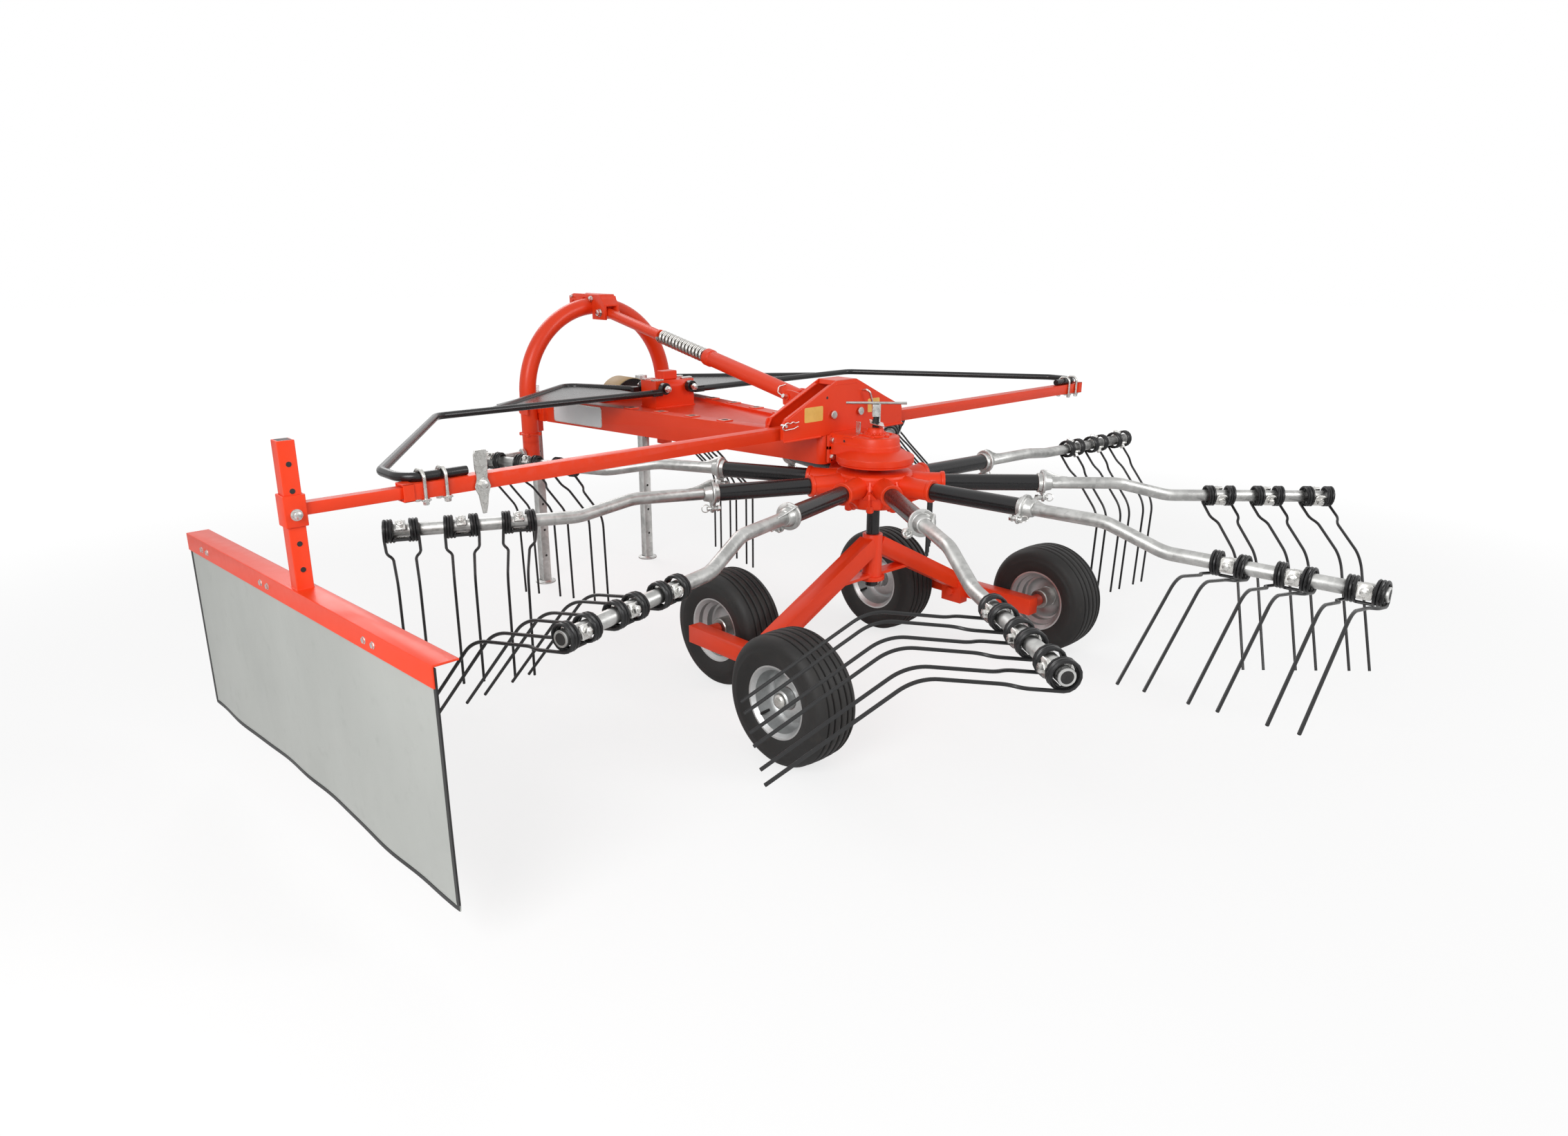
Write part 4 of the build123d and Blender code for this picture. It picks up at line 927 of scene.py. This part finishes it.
def makeGearbox():
    disc, low, rim, cone = (gearbox[key] for key in ("disc", "low", "rim", "cone"))
    half, top, nose = (gearbox[key] for key in ("half", "top", "nose"))
    casting = Solid()
    casting.lathe([(40, low), (disc - 6, low), (disc - 5, low + 6), (disc - 1, low + 8), (disc, low + 10),
                   (disc, rim - 2), (disc - 2, rim), (disc - 9, rim + 2), (half + 6, cone - 2),
                   (half - 4, cone + 1),
                   (30, cone + 1)], sides=128)
    levels = [(rim - 4, 3.0), (cone + 14, 0.8), (cone + 16, -1.4), (top - 6, -3.0), (top - 2, -5.0),
              (top, -9.0)]
    casting.rings([[(x, y, z) for x, y in oblong(half + swell, nose - 1)] for z, swell in levels])
    casting.piece("gearbox_casting", "cast", node="gearbox_housing", bevel=1.6, sharp=30, steps=3)
    boss = Solid()
    boss.lathe([(48, top - 2), (48, top + 3), (44, top + 6), (37, top + 7), (35, top + 9)])
    boss.lathe([(34, top + 8), (30, top + 12), (27, gearbox["bossTop"] - 5), (24, gearbox["bossTop"] - 1),
                (13, gearbox["bossTop"])])
    boss.piece("gearbox_boss", "cast", bevel=1.2, sharp=30)
    ring = Solid()
    ring.rings([[(x * scale, y * scale, z) for x, y in toothed(22, gearbox["teeth"])]
                for z, scale in ((top + 6.5, 1), (top + 12, 0.93))])
    ring.piece("gearbox_toothed_ring", "cast", bevel=0.6)
    ears, recess, heads = Solid(), Solid(), []
    wide, flangeLow, flangeTop = gearbox["flangeHalf"], gearbox["flangeLow"], gearbox["flangeTop"]
    for side in (-1, 1):
        ears.box((side * (wide - 14), nose - 14, flangeLow), (side * wide, nose, flangeTop))
        ears.box((side * 70, nose - 14, rim + 10), (side * wide, nose - 2, rim + 24))
        # near-black boxes in the bolt pockets: painted shade of the recesses
        for z0, z1 in ((828, 856), (768, 802)):
            recess.box((side * 86 - 12, nose - 9, z0), (side * 86 + 12, nose - 5.5, z1))
        heads += [((side * 84, nose - 9, z), (0, -1, 0)) for z in gearbox["bolts"]]
    ears.box((-wide, nose - 6, flangeLow), (wide, nose, flangeTop))
    for side in (-1, 1):
        ears.rings([[(side * 62 + u * long, 52 + v * broad, z) for u, v in gearbox["ear"]]
                    for long, broad, z in ((1, 2.4, top - 6), (0.94, 2.3, top + 2))])
    ears.piece("gearbox_ears", "cast", bevel=2.2, steps=3)
    recess.piece("gearbox_recesses", "dark", bevel=1.0)
    bolts("gearbox_bolts", heads, 19, 12, 24)
    lidAngles = [math.radians(30 + 60 * k) for k in range(6)]
    lid = gearbox["lidCircle"]
    lidHeads = [((lid * math.cos(a), lid * math.sin(a), top - 0.5), zAxis) for a in lidAngles]
    bolts("gearbox_lid_bolts", lidHeads, 12, 5, 15, "red")
    holeMarks("gearbox_plug", [((side * 84.6, 66, 846), (side, 0, 0)) for side in (-1, 1)], 4.5)


spindle = {"foot": 893, "bar": 974, "half": 14, "reach": 102.5, "barRadius": 4.5, "turn": -45, "threads": 7,
           "pitch": 3.2}


def makeSpindle():
    low, top, half = spindle["foot"], spindle["bar"], spindle["half"]
    rod = Solid()
    rod.lathe([(12, low - 8), (12, low + 26), (9.5, low + 28), (9.5, top - 36)], sides=32)
    for z in (low + k * spindle["pitch"] for k in range(spindle["threads"])):
        rod.ring([(11.4, z + 2), (12.6, z + 3.6), (11.4, z + 5.2)], sides=32)
    rod.piece("height_screw", "dark", node="height_spindle", slot="bare_steel", sharp=40)
    turn = spun(spindle["turn"])
    block, bar, lock, bracket = Solid(turn), Solid(turn), Solid(turn), Solid()
    block.box((-half, -half, top - 45), (half, half, top - 4))
    block.box((half - 5, -half - 2, top - 62), (half, half + 2, top - 2))
    block.piece("spindle_nut_block", "bright", slot="bare_steel", bevel=1.6)
    bar.rod((-spindle["reach"], 0, top), (spindle["reach"], 0, top), spindle["barRadius"], 24)
    bar.piece("turning_bar", "steel", bevel=0.8)
    lock.rings([[(-22, -44, low + 20), (26, -44, low + 8), (26, -40, low + 4), (-22, -40, low + 16)],
                [(-22, 18, low + 24), (26, 18, low + 12), (26, 18, low + 8), (-22, 18, low + 20)]])
    lock.piece("spindle_lock_plate", "bright", bevel=0.8)
    bracket.box((-50, 26, 872), (-46, 46, 912))
    bracket.box((-50, 22, 866), (-20, 46, 870))
    bracket.piece("lock_bracket", "bright", bevel=1.0)


def makeColumn():
    shaft = Solid()
    shaft.lathe([(18, 330), (22.5, 334), (22.5, 768)], sides=48)
    shaft.piece("column_shaft_turned", "black", node="column_shaft", slot="bare_steel", sharp=40)
    easedCopy("undercarriage_frame", "undercarriage_welded", "frame", "red", 2.4)
    nipple = Solid()
    nipple.lathe([(4.5, 0), (4.5, 5), (3, 6), (3.6, 9), (2, 11), (0, 11)], (34, -6, 428), (1, -0.2, 0), 16)
    nipple.piece("grease_nipple", "brass", sharp=40)


# headstock

arch = {"y": 1660, "half": 360, "centre": 870, "tube": 35, "foot": 580, "plateZ": 826, "boxInset": 90,
        "plate": [(-40, -34), (26, -34), (32, -26), (32, 26), (26, 34), (-40, 34)]}


def makeArch():
    y, half, centre, r, foot = (arch[key] for key in ("y", "half", "centre", "tube", "foot"))
    line = [(-half, y, foot + 90), (-half, y, foot + 180)]
    for a in (math.pi * (1 - k / 48) for k in range(49)):
        line.append((half * math.cos(a), y, centre + half * math.sin(a)))
    line += [(half, y, foot + 180), (half, y, foot + 90)]
    tube, legs, boxTops = Solid(), Solid(), Solid()
    tube.tube(line, r, 40, across=yAxis)
    heads = []
    for side in (-1, 1):
        x = side * half
        tube.ring([(r - 6, -2), (r, 0), (r, 92), (r - 6, 92)], (x, y, foot), zAxis, 40)
        bead = [(r - 1, 118), (r + 5, 120), (r + 7, 124), (r + 5, 128), (r - 1, 130)]
        legs.ring(bead, (x, y, foot), zAxis, 44)
        for a in (math.radians(45 + 90 * turn) for turn in range(4)):
            spot = (x + (r + 5) * math.cos(a), y + (r + 5) * math.sin(a), foot + 124)
            legs.lathe([(7, -7), (8, -5), (8, 5), (7, 7)], spot, zAxis, 16)
        for across in (-1, 1):
            spot = (x + across * (r + 0.5), y - 8, arch["plateZ"])
            legs.plate(arch["plate"], spot, yAxis, zAxis, -across * 6)
            heads.append(((x + across * (r + 6.5), y - 12, arch["plateZ"]), (across, 0, 0)))
        x = side * (half - arch["boxInset"])
        boxTops.box((x - 26, 1608, 852), (x + 26, 1680, 862))
        boxTops.box((x - 26, 1604, 846), (x + 26, 1612, 868))
    tube.piece("arch_tube_bent", "red", node="headstock_arch", sharp=40)
    legs.piece("arch_leg_plates", "red", bevel=1.8)
    bolts("arch_leg_bolts", heads, 24, 11, 32)
    boxTops.piece("front_box_top_plates", "red", bevel=1.6)


lowerPin = {"start": 395, "z": 620, "clip": 522,
            "profile": [(14, 0), (20, 0.5), (24, 3), (24, 15), (20, 17.5), (14, 17.6), (14, 134), (12, 139),
                        (6, 142.3), (0, 142.4)]}


def makeLowerPins():
    pins, clips = Solid(), Solid()
    y = arch["y"]
    for side in (-1, 1):
        pins.lathe(lowerPin["profile"], (side * lowerPin["start"], y, lowerPin["z"]), (side, 0, 0), 40)
        x = side * lowerPin["clip"]
        clips.rod((x, y, 600), (x, y, 642), 4.5, 14)
        clips.tube([(x + u, y + 8, 626 + v) for u, v in circle(17, 24)], 1.8, 8, closed=True)
    pins.piece("lower_link_pins_turned", "zinc", node="lower_link_pins", slot="bare_steel")
    clips.piece("lower_pin_clips", "bright", sharp=40)


clevis = {"outer": 38, "hole": (1765, 1240), "topPin": (1772, 1268), "rearPin": (1565, 1205),
          "topBolt": (1625, 1262)}


def makeClevis():
    easedCopy("headstock_clevis", "clevis_folded", "frame", "red", 2.6)
    outer = clevis["outer"]
    trim, pins, heads = Solid(), Solid(), []
    trim.rings([[(-outer, y, z), (outer, y, z), (outer, y, z - 4), (-outer, y, z - 4)]
                for y, z in ((1552, 1274), (1548, 1262))])
    for side in (-1, 1):
        eye = (side * outer, *clevis["hole"])
        trim.ring([(12.9, 0), (12.9, 2.2), (21, 2.2), (23, 0)], eye, (side, 0, 0), 32)
        heads.append(((side * (outer + 1), *clevis["rearPin"]), (side, 0, 0)))
    heads += [((side * (outer + 1), *clevis["topBolt"]), (side, 0, 0), 0.7) for side in (-1, 1)]
    trim.piece("clevis_eye_rings", "red", bevel=0.8)
    pins.rod((-outer - 11, *clevis["topPin"]), (outer + 11, *clevis["topPin"]), 5.5, 20)
    pins.rod((-outer - 10, *clevis["rearPin"]), (outer + 10, *clevis["rearPin"]), 9, 20)
    pins.piece("clevis_pins", "bright", bevel=1.0)
    bolts("clevis_bolts", heads, 26, 12, 36)


strut = {"rear": (390, 960), "front": (1565, 1205), "rearEnd": 366, "frontEnd": 1585, "springFrom": 890,
         "springTo": 1190, "wire": 7.2, "turns": 13.5, "turnSteps": 20, "springRadius": 21.3, "guide": 13.5}


def onStrut(y):
    (y0, z0), (y1, z1) = strut["rear"], strut["front"]
    return Vector((0, y, z0 + (z1 - z0) * (y - y0) / (y1 - y0)))


def makeStrut():
    axis = (onStrut(strut["front"][0]) - onStrut(strut["rear"][0])).normalized()
    lower, upper, guide, pin = Solid(), Solid(), Solid(), Solid()
    low = onStrut(strut["rearEnd"])
    length = (onStrut(strut["springFrom"]) - low).length
    lower.lathe([(26, 0), (30, 3), (30, length - 34), (33.5, length - 31), (33.5, length - 3), (31, length),
                 (16, length)], low, axis, 48)
    lower.piece("strut_lower_turned", "red", node="strut_lower_tube", bevel=1.5)
    start = onStrut(strut["springFrom"] - 6)
    inner = (onStrut(strut["springTo"]) - start).length
    full = (onStrut(strut["frontEnd"]) - start).length
    upper.lathe([(14, inner - 6), (25, inner - 5), (25, inner + 6), (21, inner + 8), (21, full - 2),
                 (18, full)],
                start, axis, 48)
    upper.piece("strut_upper_turned", "red", node="strut_upper_tube", bevel=1.2)
    guide.lathe([(strut["guide"], 0), (strut["guide"], inner)], start, axis, 32)
    guide.piece("spring_guide_rod", "dark", slot="bare_steel", sharp=40)
    across = Vector(xAxis)
    other = axis.cross(across)
    steps = int(strut["turns"] * strut["turnSteps"])
    low, high = onStrut(strut["springFrom"] + 7), onStrut(strut["springTo"] - 7)
    coil = []
    for share in (k / steps for k in range(steps + 1)):
        a = 2 * math.pi * strut["turns"] * share
        out = across * math.cos(a) + other * math.sin(a)
        coil.append(low.lerp(high, share) + out * strut["springRadius"])
    values = {"Line": lineObject("spring line", coil), "Wire Radius": strut["wire"] / 1000, "Wire Sides": 14}
    stand("strut_coil_spring", [(origin, origin)], "wire", values, "spring", node="strut_spring")
    pin.tube(rounded([(-64, 390, 966), (-56, 390, 962), (58, 390, 960)], 5, 3), 7.5, 20)
    pin.tube(rounded([(-58, 394, 962), (-60, 420, 974), (-40, 436, 992), (-12, 428, 998)], 10, 4), 2.2, 8)
    pin.piece("strut_pin", "bright", sharp=45)


driveline = {"z": 812, "from": 1400, "shoulder": 1468, "to": 1488, "hoodZ": 838, "hoodRadius": 97,
             "splines": [(0.02, 14.2), (0.22, 14.2), (0.28, 17.4), (0.94, 17.4)]}


def makeDriveline():
    z, hoodZ, hoodRadius = driveline["z"], driveline["hoodZ"], driveline["hoodRadius"]
    shaft, back = Solid(), Solid()
    cuts = [(driveline["from"], 1), (driveline["shoulder"], 1), (driveline["to"], 0.94)]
    shaft.rings([[(u * scale, y, z + v * scale) for u, v in toothed(6, driveline["splines"])]
                 for y, scale in cuts])
    shaft.lathe([(17.4, 0), (17.4, 12), (16, 14)], (0, driveline["from"], z), yAxis, 40)
    shaft.piece("splined_input_shaft", "steel", node="input_shaft", bevel=0.5)
    angles = [math.radians(14 + 152 * k / 24) for k in range(25)]
    rim = [(hoodRadius * math.cos(a), hoodZ + hoodRadius * math.sin(a)) for a in angles]
    back.prism(rim, (1394.5, 1399.8), 1)
    back.piece("hood_back_plate", "black", bevel=1.2)


makeTower()
makeBlankPlates()
makePads()
makeGearbox()
makeSpindle()
makeColumn()
makeArch()
makeLowerPins()
makeClevis()
makeStrut()
makeDriveline()
print("frame fittings made")


# guard hoops

guard = {"radius": 12.5, "z": 912.5,
         "main": [(86, 1081.5), (1040, 1100), (1570, 320), (1570, 183), (1400, 183)],
         "brace": [(86, 1218.5), (250, 1530), (820, 1100)], "eye": 24, "eyeX": 68, "eyeZ": 926,
         "eyeY": (1081.5, 1218.5), "boltY": (1061, 1239), "flatY": (1112, 1172),
         "sheet": [(172, 1250), (250, 1530), (748, 1215), (748, 1100), (172, 1084)]}


def makeGuard(side, word):
    z, eye = guard["z"], guard["eye"]
    hoop, sheet = Solid(), Solid()
    for key, corner in (("main", 60), ("brace", 55)):
        line = rounded([(side * x, y, z) for x, y in guard[key]], corner, 7)
        hoop.tube(line, guard["radius"], 20, across=zAxis)
    for y in guard["eyeY"]:
        hoop.ring([(9, -12), (9, 12), (eye - 1.5, 12), (eye, 10.5), (eye, -10.5), (eye - 1.5, -12)],
                  (side * guard["eyeX"], y, guard["eyeZ"]), yAxis, 36)
        hoop.box((side * 84, y - 11, z - 13), (side * 132, y + 11, z + 13))
    hoop.piece("guard_hoop_bent_" + word, "black", "wing_" + word, "guard_hoop_" + word, bevel=1.6)
    sheet.prism([(side * x, y) for x, y in guard["sheet"]], (z - 1.5, z + 1.5))
    sheet.piece("guard_sheet_" + word, "black", "wing_" + word, bevel=0.7)


def makeGuardBolts():
    strips, collar, heads = Solid(), Solid(), []
    for side in (-1, 1):
        for y, way in zip(guard["boltY"], (-1, 1)):
            heads.append(((side * guard["eyeX"], y, guard["eyeZ"]), (0, way, 0)))
        for y in guard["flatY"]:
            strips.box((side * 74 - 26, y, 955), (side * 74 + 26, y + 18, 961))
    bolts("guard_eye_bolts", heads, 22, 9, 28)
    strips.piece("guard_box_flats", "bright", bevel=1.0)
    collar.box((-34, 1128, 955), (34, 1176, 990))
    collar.piece("guard_box_top", "red", bevel=4.0, steps=3)


# side arm fittings

armFit = {"y": 183, "z": 880, "half": 20, "end": 1580, "clamps": (1528, 1470), "lever": 1370,
          "leverShape": [(-17, 12), (-20, 40), (-21, 74), (-16, 86), (14, 86), (18, 78), (16, 40), (14, 10),
                         (22, -12), (14, -34), (10, -62), (4, -84), (-6, -84), (-10, -60), (-14, -34),
                         (-24, -12)]}


def makeArmFittings(side, word):
    body = "wing_" + word
    y, z, half = armFit["y"], armFit["z"], armFit["half"]
    yokes, end, nuts = Solid(), Solid(), []
    route = [(-half - 5, -half - 12), (-half - 5, half + 18), (7 - half, half + 30), (half - 7, half + 30),
             (half + 5, half + 18), (half + 5, -half - 12)]
    for x in armFit["clamps"]:
        yokes.tube(rounded([(side * x, y + v, z + w) for v, w in route], 12, 4), 5, 16)
        yokes.box((side * x - 12, y - half - 12, z - half - 5), (side * x + 12, y + half + 12, z - half))
        nuts += [((side * x, y + across * (half + 5), z - half - 5), (0, 0, -1)) for across in (-1, 1)]
    yokes.piece("guard_u_bolts_" + word, "bright", body, bevel=0.8)
    bolts("guard_u_bolt_nuts_" + word, nuts, 15, 8, 20, body=body)
    inside, outside = half - 0.5, half + 3
    bands = [((-outside, -outside), (-inside, outside)), ((inside, -outside), (outside, outside)),
             ((-outside, inside), (outside, outside)), ((-outside, -outside), (outside, -inside))]
    for (v0, w0), (v1, w1) in bands:
        end.box((side * (armFit["end"] - 26), y + v0, z + w0), (side * (armFit["end"] + 3), y + v1, z + w1))
    end.piece("side_arm_end_band_" + word, "red", body, bevel=1.4)
    if word == "left":
        x = side * armFit["lever"]
        lever = Solid()
        lever.plate(armFit["leverShape"], (x, y - half - 2, z), xAxis, zAxis, 5)
        lever.piece("arm_lever_plate", "bright", body, bevel=1.0)
        bolts("arm_lever_bolt", [((x, y - half - 7, z - 6), (0, -1, 0))], 20, 9, 34, body=body)


for side, word in sides:
    makeGuard(side, word)
makeGuardBolts()
for side, word in sides:
    makeArmFittings(side, word)
print("wings made")


# curtain

curtain = {"postX": 1842, "middleY": 215, "turn": 2.44, "length": 1410, "top": 683, "rearLow": 132,
           "inside": -25, "thick": 1.8, "wave": 7.0, "across": 90, "down": 36, "border": 11,
           "borderThick": 2.1, "borderIn": 5.0,
           "railBolts": (-0.64, -0.58, 0.17, 0.23, 0.77, 0.83), "postHoles": (990, 927, 801, 738)}
curtainTurn = Matrix.Translation((-curtain["postX"], curtain["middleY"], 0)) @ spun(curtain["turn"])


def curtainLow(u):  # lower edge, u from -1 at the rear to 1 at the front
    share = min(1.0, max(0.0, (u + 0.92) / 0.75))
    return curtain["rearLow"] + 22 * share * share * (3 - 2 * share) + 11 * (u + 1) / 2


def curtainSway(u, share):  # how far the free cloth leaves its plane
    free = max(0.0, share - 0.08) ** 1.4
    return curtain["wave"] * free * (0.55 * math.sin(5.2 * u + 0.9) + 0.3 * math.sin(11 * u + 2.0 + 2 * share)
                                     + 0.15 * math.sin(19 * u - 3 * share))


def curtainPoint(u, share, depth):
    z = curtain["top"] + (curtainLow(u) - curtain["top"]) * share
    x = curtain["inside"] + 1.0 + curtain["thick"] * depth + curtainSway(u, share)
    return (x, u * curtain["length"] / 2, z)


def makeCurtain():
    rows, columns = curtain["down"], curtain["across"]
    sheet = Solid(curtainTurn)
    places = [2 * c / columns - 1 for c in range(columns + 1)]
    near, far = ([sheet.vertices([curtainPoint(u, r / rows, depth) for u in places]) for r in range(rows + 1)]
                 for depth in (0.0, 1.0))
    for grid in (near, far):
        for above, below in zip(grid, grid[1:]):
            for c in range(columns):
                sheet.mesh.faces.new((above[c], above[c + 1], below[c + 1], below[c]))
    edge = [(0, c) for c in range(columns)] + [(r, columns) for r in range(rows)] \
        + [(rows, c) for c in range(columns, 0, -1)] + [(r, 0) for r in range(rows, 0, -1)]
    for (r, c), (nr, nc) in zip(edge, edge[1:] + edge[:1]):
        sheet.mesh.faces.new((near[r][c], near[nr][nc], far[nr][nc], far[r][c]))
    cloth = sheet.piece("curtain_cloth", "cloth", "curtain", "curtain_sheet", sharp=60)
    border = Solid(curtainTurn)
    path = [curtainPoint(-1, r / 30, 0.5) for r in range(30)]
    path += [curtainPoint(2 * c / 80 - 1, 1.0, 0.5) for c in range(81)]
    path += [curtainPoint(1, 1 - r / 30, 0.5) for r in range(1, 31)]
    inset = curtain["borderIn"]
    path = [(x, y * (1 - 2 * inset / curtain["length"]), z + (inset if 30 <= k <= 110 else 0))
            for k, (x, y, z) in enumerate(path)]
    wide, thick = curtain["border"] / 2, curtain["borderThick"]
    border.tube(path, 1, section=[(thick, wide), (thick, -wide), (-thick, -wide), (-thick, wide)],
                across=xAxis)
    binding = border.piece("curtain_binding", "binding", "curtain", sharp=40)
    width = curtain["length"] / 1000
    strips = 200
    heights = [(curtain["top"] - curtainLow(2 * (k + 0.5) / strips - 1)) / 1000 for k in range(strips)]
    area = sum(height * width / strips for height in heights)


def makeCurtainFittings():
    x, y = -curtain["postX"], armFit["y"]
    turn = curtainTurn.to_3x3() @ Vector((-1, 0, 0))
    bolts("rail_bolts", [(curtainTurn @ Vector((-30, u * curtain["length"] / 2, 664)), turn)
                         for u in curtain["railBolts"]], 12, 3.4, 17, body="curtain")
    holeMarks("post_holes", [((x, y + across * 20, z), (0, across, 0)) for z in curtain["postHoles"]
                             for across in (-1, 1)], 6.5, "curtain")
    heads = [((x, y + across * 25.4, 872), (0, across, 0)) for across in (-1, 1)]
    bolts("post_sleeve_bolt", heads, 19, 10, 28, body="curtain_carriage")
    # a near-black box on the post top: painted shade inside the open square tube
    cap = Solid()
    cap.box((x - 15.5, y - 15.5, 1041), (x + 15.5, y + 15.5, 1045.3))
    cap.piece("post_open_end", "dark", "curtain", bevel=0.6)


makeCurtain()
makeCurtainFittings()
print("curtain made")


# stands

legs = {"x": 290, "y": 1735, "half": 20, "holes": (130, 250, 370, 490, 610), "pinZ": 790}


def makeStandFittings(side, word):
    x, y, pinZ = side * legs["x"], legs["y"], legs["pinZ"]
    marks = [((x, y + across * legs["half"], z), (0, across, 0)) for z in legs["holes"] for across in (-1, 1)]
    holeMarks("stand_holes_" + word, marks, 6, "stand_" + word, "zinc")
    pin = Solid()
    pin.rod((x, y - 30, pinZ), (x, y + 33, pinZ), 6, 18)
    pin.tube([(x + u, y - 32, pinZ - 12 + v) for u, v in circle(16, 24)], 2, 8, closed=True)
    pin.piece("stand_pin_" + word, "bright", bevel=0.6)
    foot = Solid()
    foot.ring([(28.5, 8), (28.5, 12), (31, 12.5), (36, 8)], (x, y, 0), zAxis, 36)
    foot.piece("stand_foot_weld_" + word, "zinc", "stand_" + word, sharp=40)


for side, word in sides:
    makeStandFittings(side, word)


# weld beads, small drops of metal in a row along each joint

welds = {"pitch": 4.2, "lines": [((-300, 136, 858), (-130, 136, 858)), ((130, 136, 858), (300, 136, 858)),
                                 ((-98, 1099, 847), (98, 1099, 847)), ((-98, 1201, 847), (98, 1201, 847)),
                                 ((-290, 230, 858), (-125, 230, 858)), ((125, 230, 858), (290, 230, 858))]}


def makeWelds():
    drop = Solid()
    drop.lathe([(0.1, -3.2), (3.0, -2.4), (4.2, 0), (3.0, 2.4), (0.1, 3.2)], sides=10)
    spots = []
    for start, end in welds["lines"]:
        start, end = Vector(start), Vector(end)
        count = int((end - start).length / welds["pitch"])
        spots += [(start.lerp(end, k / count), facing(end - start)) for k in range(count + 1)]
    stand("weld_beads", spots, "repeat", {"Part": drop.object("drop", sharp=80)}, "red")


makeWelds()
print("stands and welds made")


# view, light and floor

viewPoint = {"place": (-2.6268560648570003, -2.296557960311047, 1.4579857776200067), "lens": 23.634,
             "yaw": -43.7506, "pitch": -17.0538, "roll": 0.2113}


def makeCamera():
    lens = bpy.data.cameras.new("view")
    lens.lens = viewPoint["lens"]
    lens.sensor_width = 36
    lens.clip_end = 100
    camera = newObject("view", lens)
    turn = (Matrix.Rotation(math.radians(viewPoint["yaw"]), 4, "Z")
            @ Matrix.Rotation(math.radians(90 + viewPoint["pitch"]), 4, "X")
            @ Matrix.Rotation(math.radians(viewPoint["roll"]), 4, "Z"))
    camera.matrix_world = Matrix.Translation(Vector(viewPoint["place"]) + ground) @ turn
    bpy.context.scene.camera = camera


lamps = [("key light", (-4.6, -1.9, 3.0), (0, 0.2, 0.6), 2.8, 140),
         ("side light", (2.2, -4.6, 3.2), (0, 0, 0.5), 2.4, 85),
         ("back light", (0.6, 5.4, 4.2), (0, 0.5, 0.7), 3.0, 80)]


def makeLamp(name, place, target, size, power):  # metres from the ground point, diameter in metres, watts
    place = ground + Vector(place)
    light = bpy.data.lights.new(name, "AREA")
    light.shape = "DISK"
    light.size = size
    light.energy = power
    lamp = newObject(name, light)
    direction = ground + Vector(target) - place
    lamp.matrix_world = Matrix.Translation(place) @ direction.to_track_quat("-Z", "Y").to_matrix().to_4x4()


def makeStage():
    mesh = bpy.data.meshes.new("floor")
    mesh.from_pydata([(-30, -30, 0), (30, -30, 0), (30, 30, 0), (-30, 30, 0)], [], [(0, 1, 2, 3)])
    floor = newObject("floor", mesh)
    material, link = newMaterial("pale floor")
    path = link.make("ShaderNodeLightPath")
    matte = link.make("ShaderNodeBsdfDiffuse", inputs={"Color": (0.9, 0.9, 0.9, 1)})
    glow = link.make("ShaderNodeEmission", inputs={"Color": (1, 1, 1, 1), "Strength": 1.04})
    spot = link.make("ShaderNodeTexCoord", output=3)
    away = link.make("ShaderNodeVectorMath", {"operation": "LENGTH"}, {0: spot}, 1).step(2.4, 5.5)
    mixed = link.make("ShaderNodeMixShader", inputs={0: path * (away * 0.28 + 0.72), 1: matte, 2: glow})
    link.make("ShaderNodeOutputMaterial", inputs={"Surface": mixed})
    floor.data.materials.append(material)
    world = bpy.data.worlds.new("pale room")
    bpy.context.scene.world = world
    world.use_nodes = True
    world.node_tree.nodes.clear()
    sky = Link(world.node_tree)
    rays = world.node_tree.nodes.new("ShaderNodeLightPath")
    camera, glossy, through = (Link(sky.tree, rays.outputs["Is " + kind + " Ray"])
                               for kind in ("Camera", "Glossy", "Transmission"))
    seen = camera + glossy + through
    strength = seen.clamped() * 0.62 + 0.38
    back = sky.make("ShaderNodeBackground", inputs={"Color": (1, 1, 1, 1), "Strength": strength})
    sky.make("ShaderNodeOutputWorld", inputs={0: back})
    for lamp in lamps:
        makeLamp(*lamp)


makeCamera()
makeStage()
bpy.context.scene.view_settings.view_transform = "Standard"
print("scene ready")
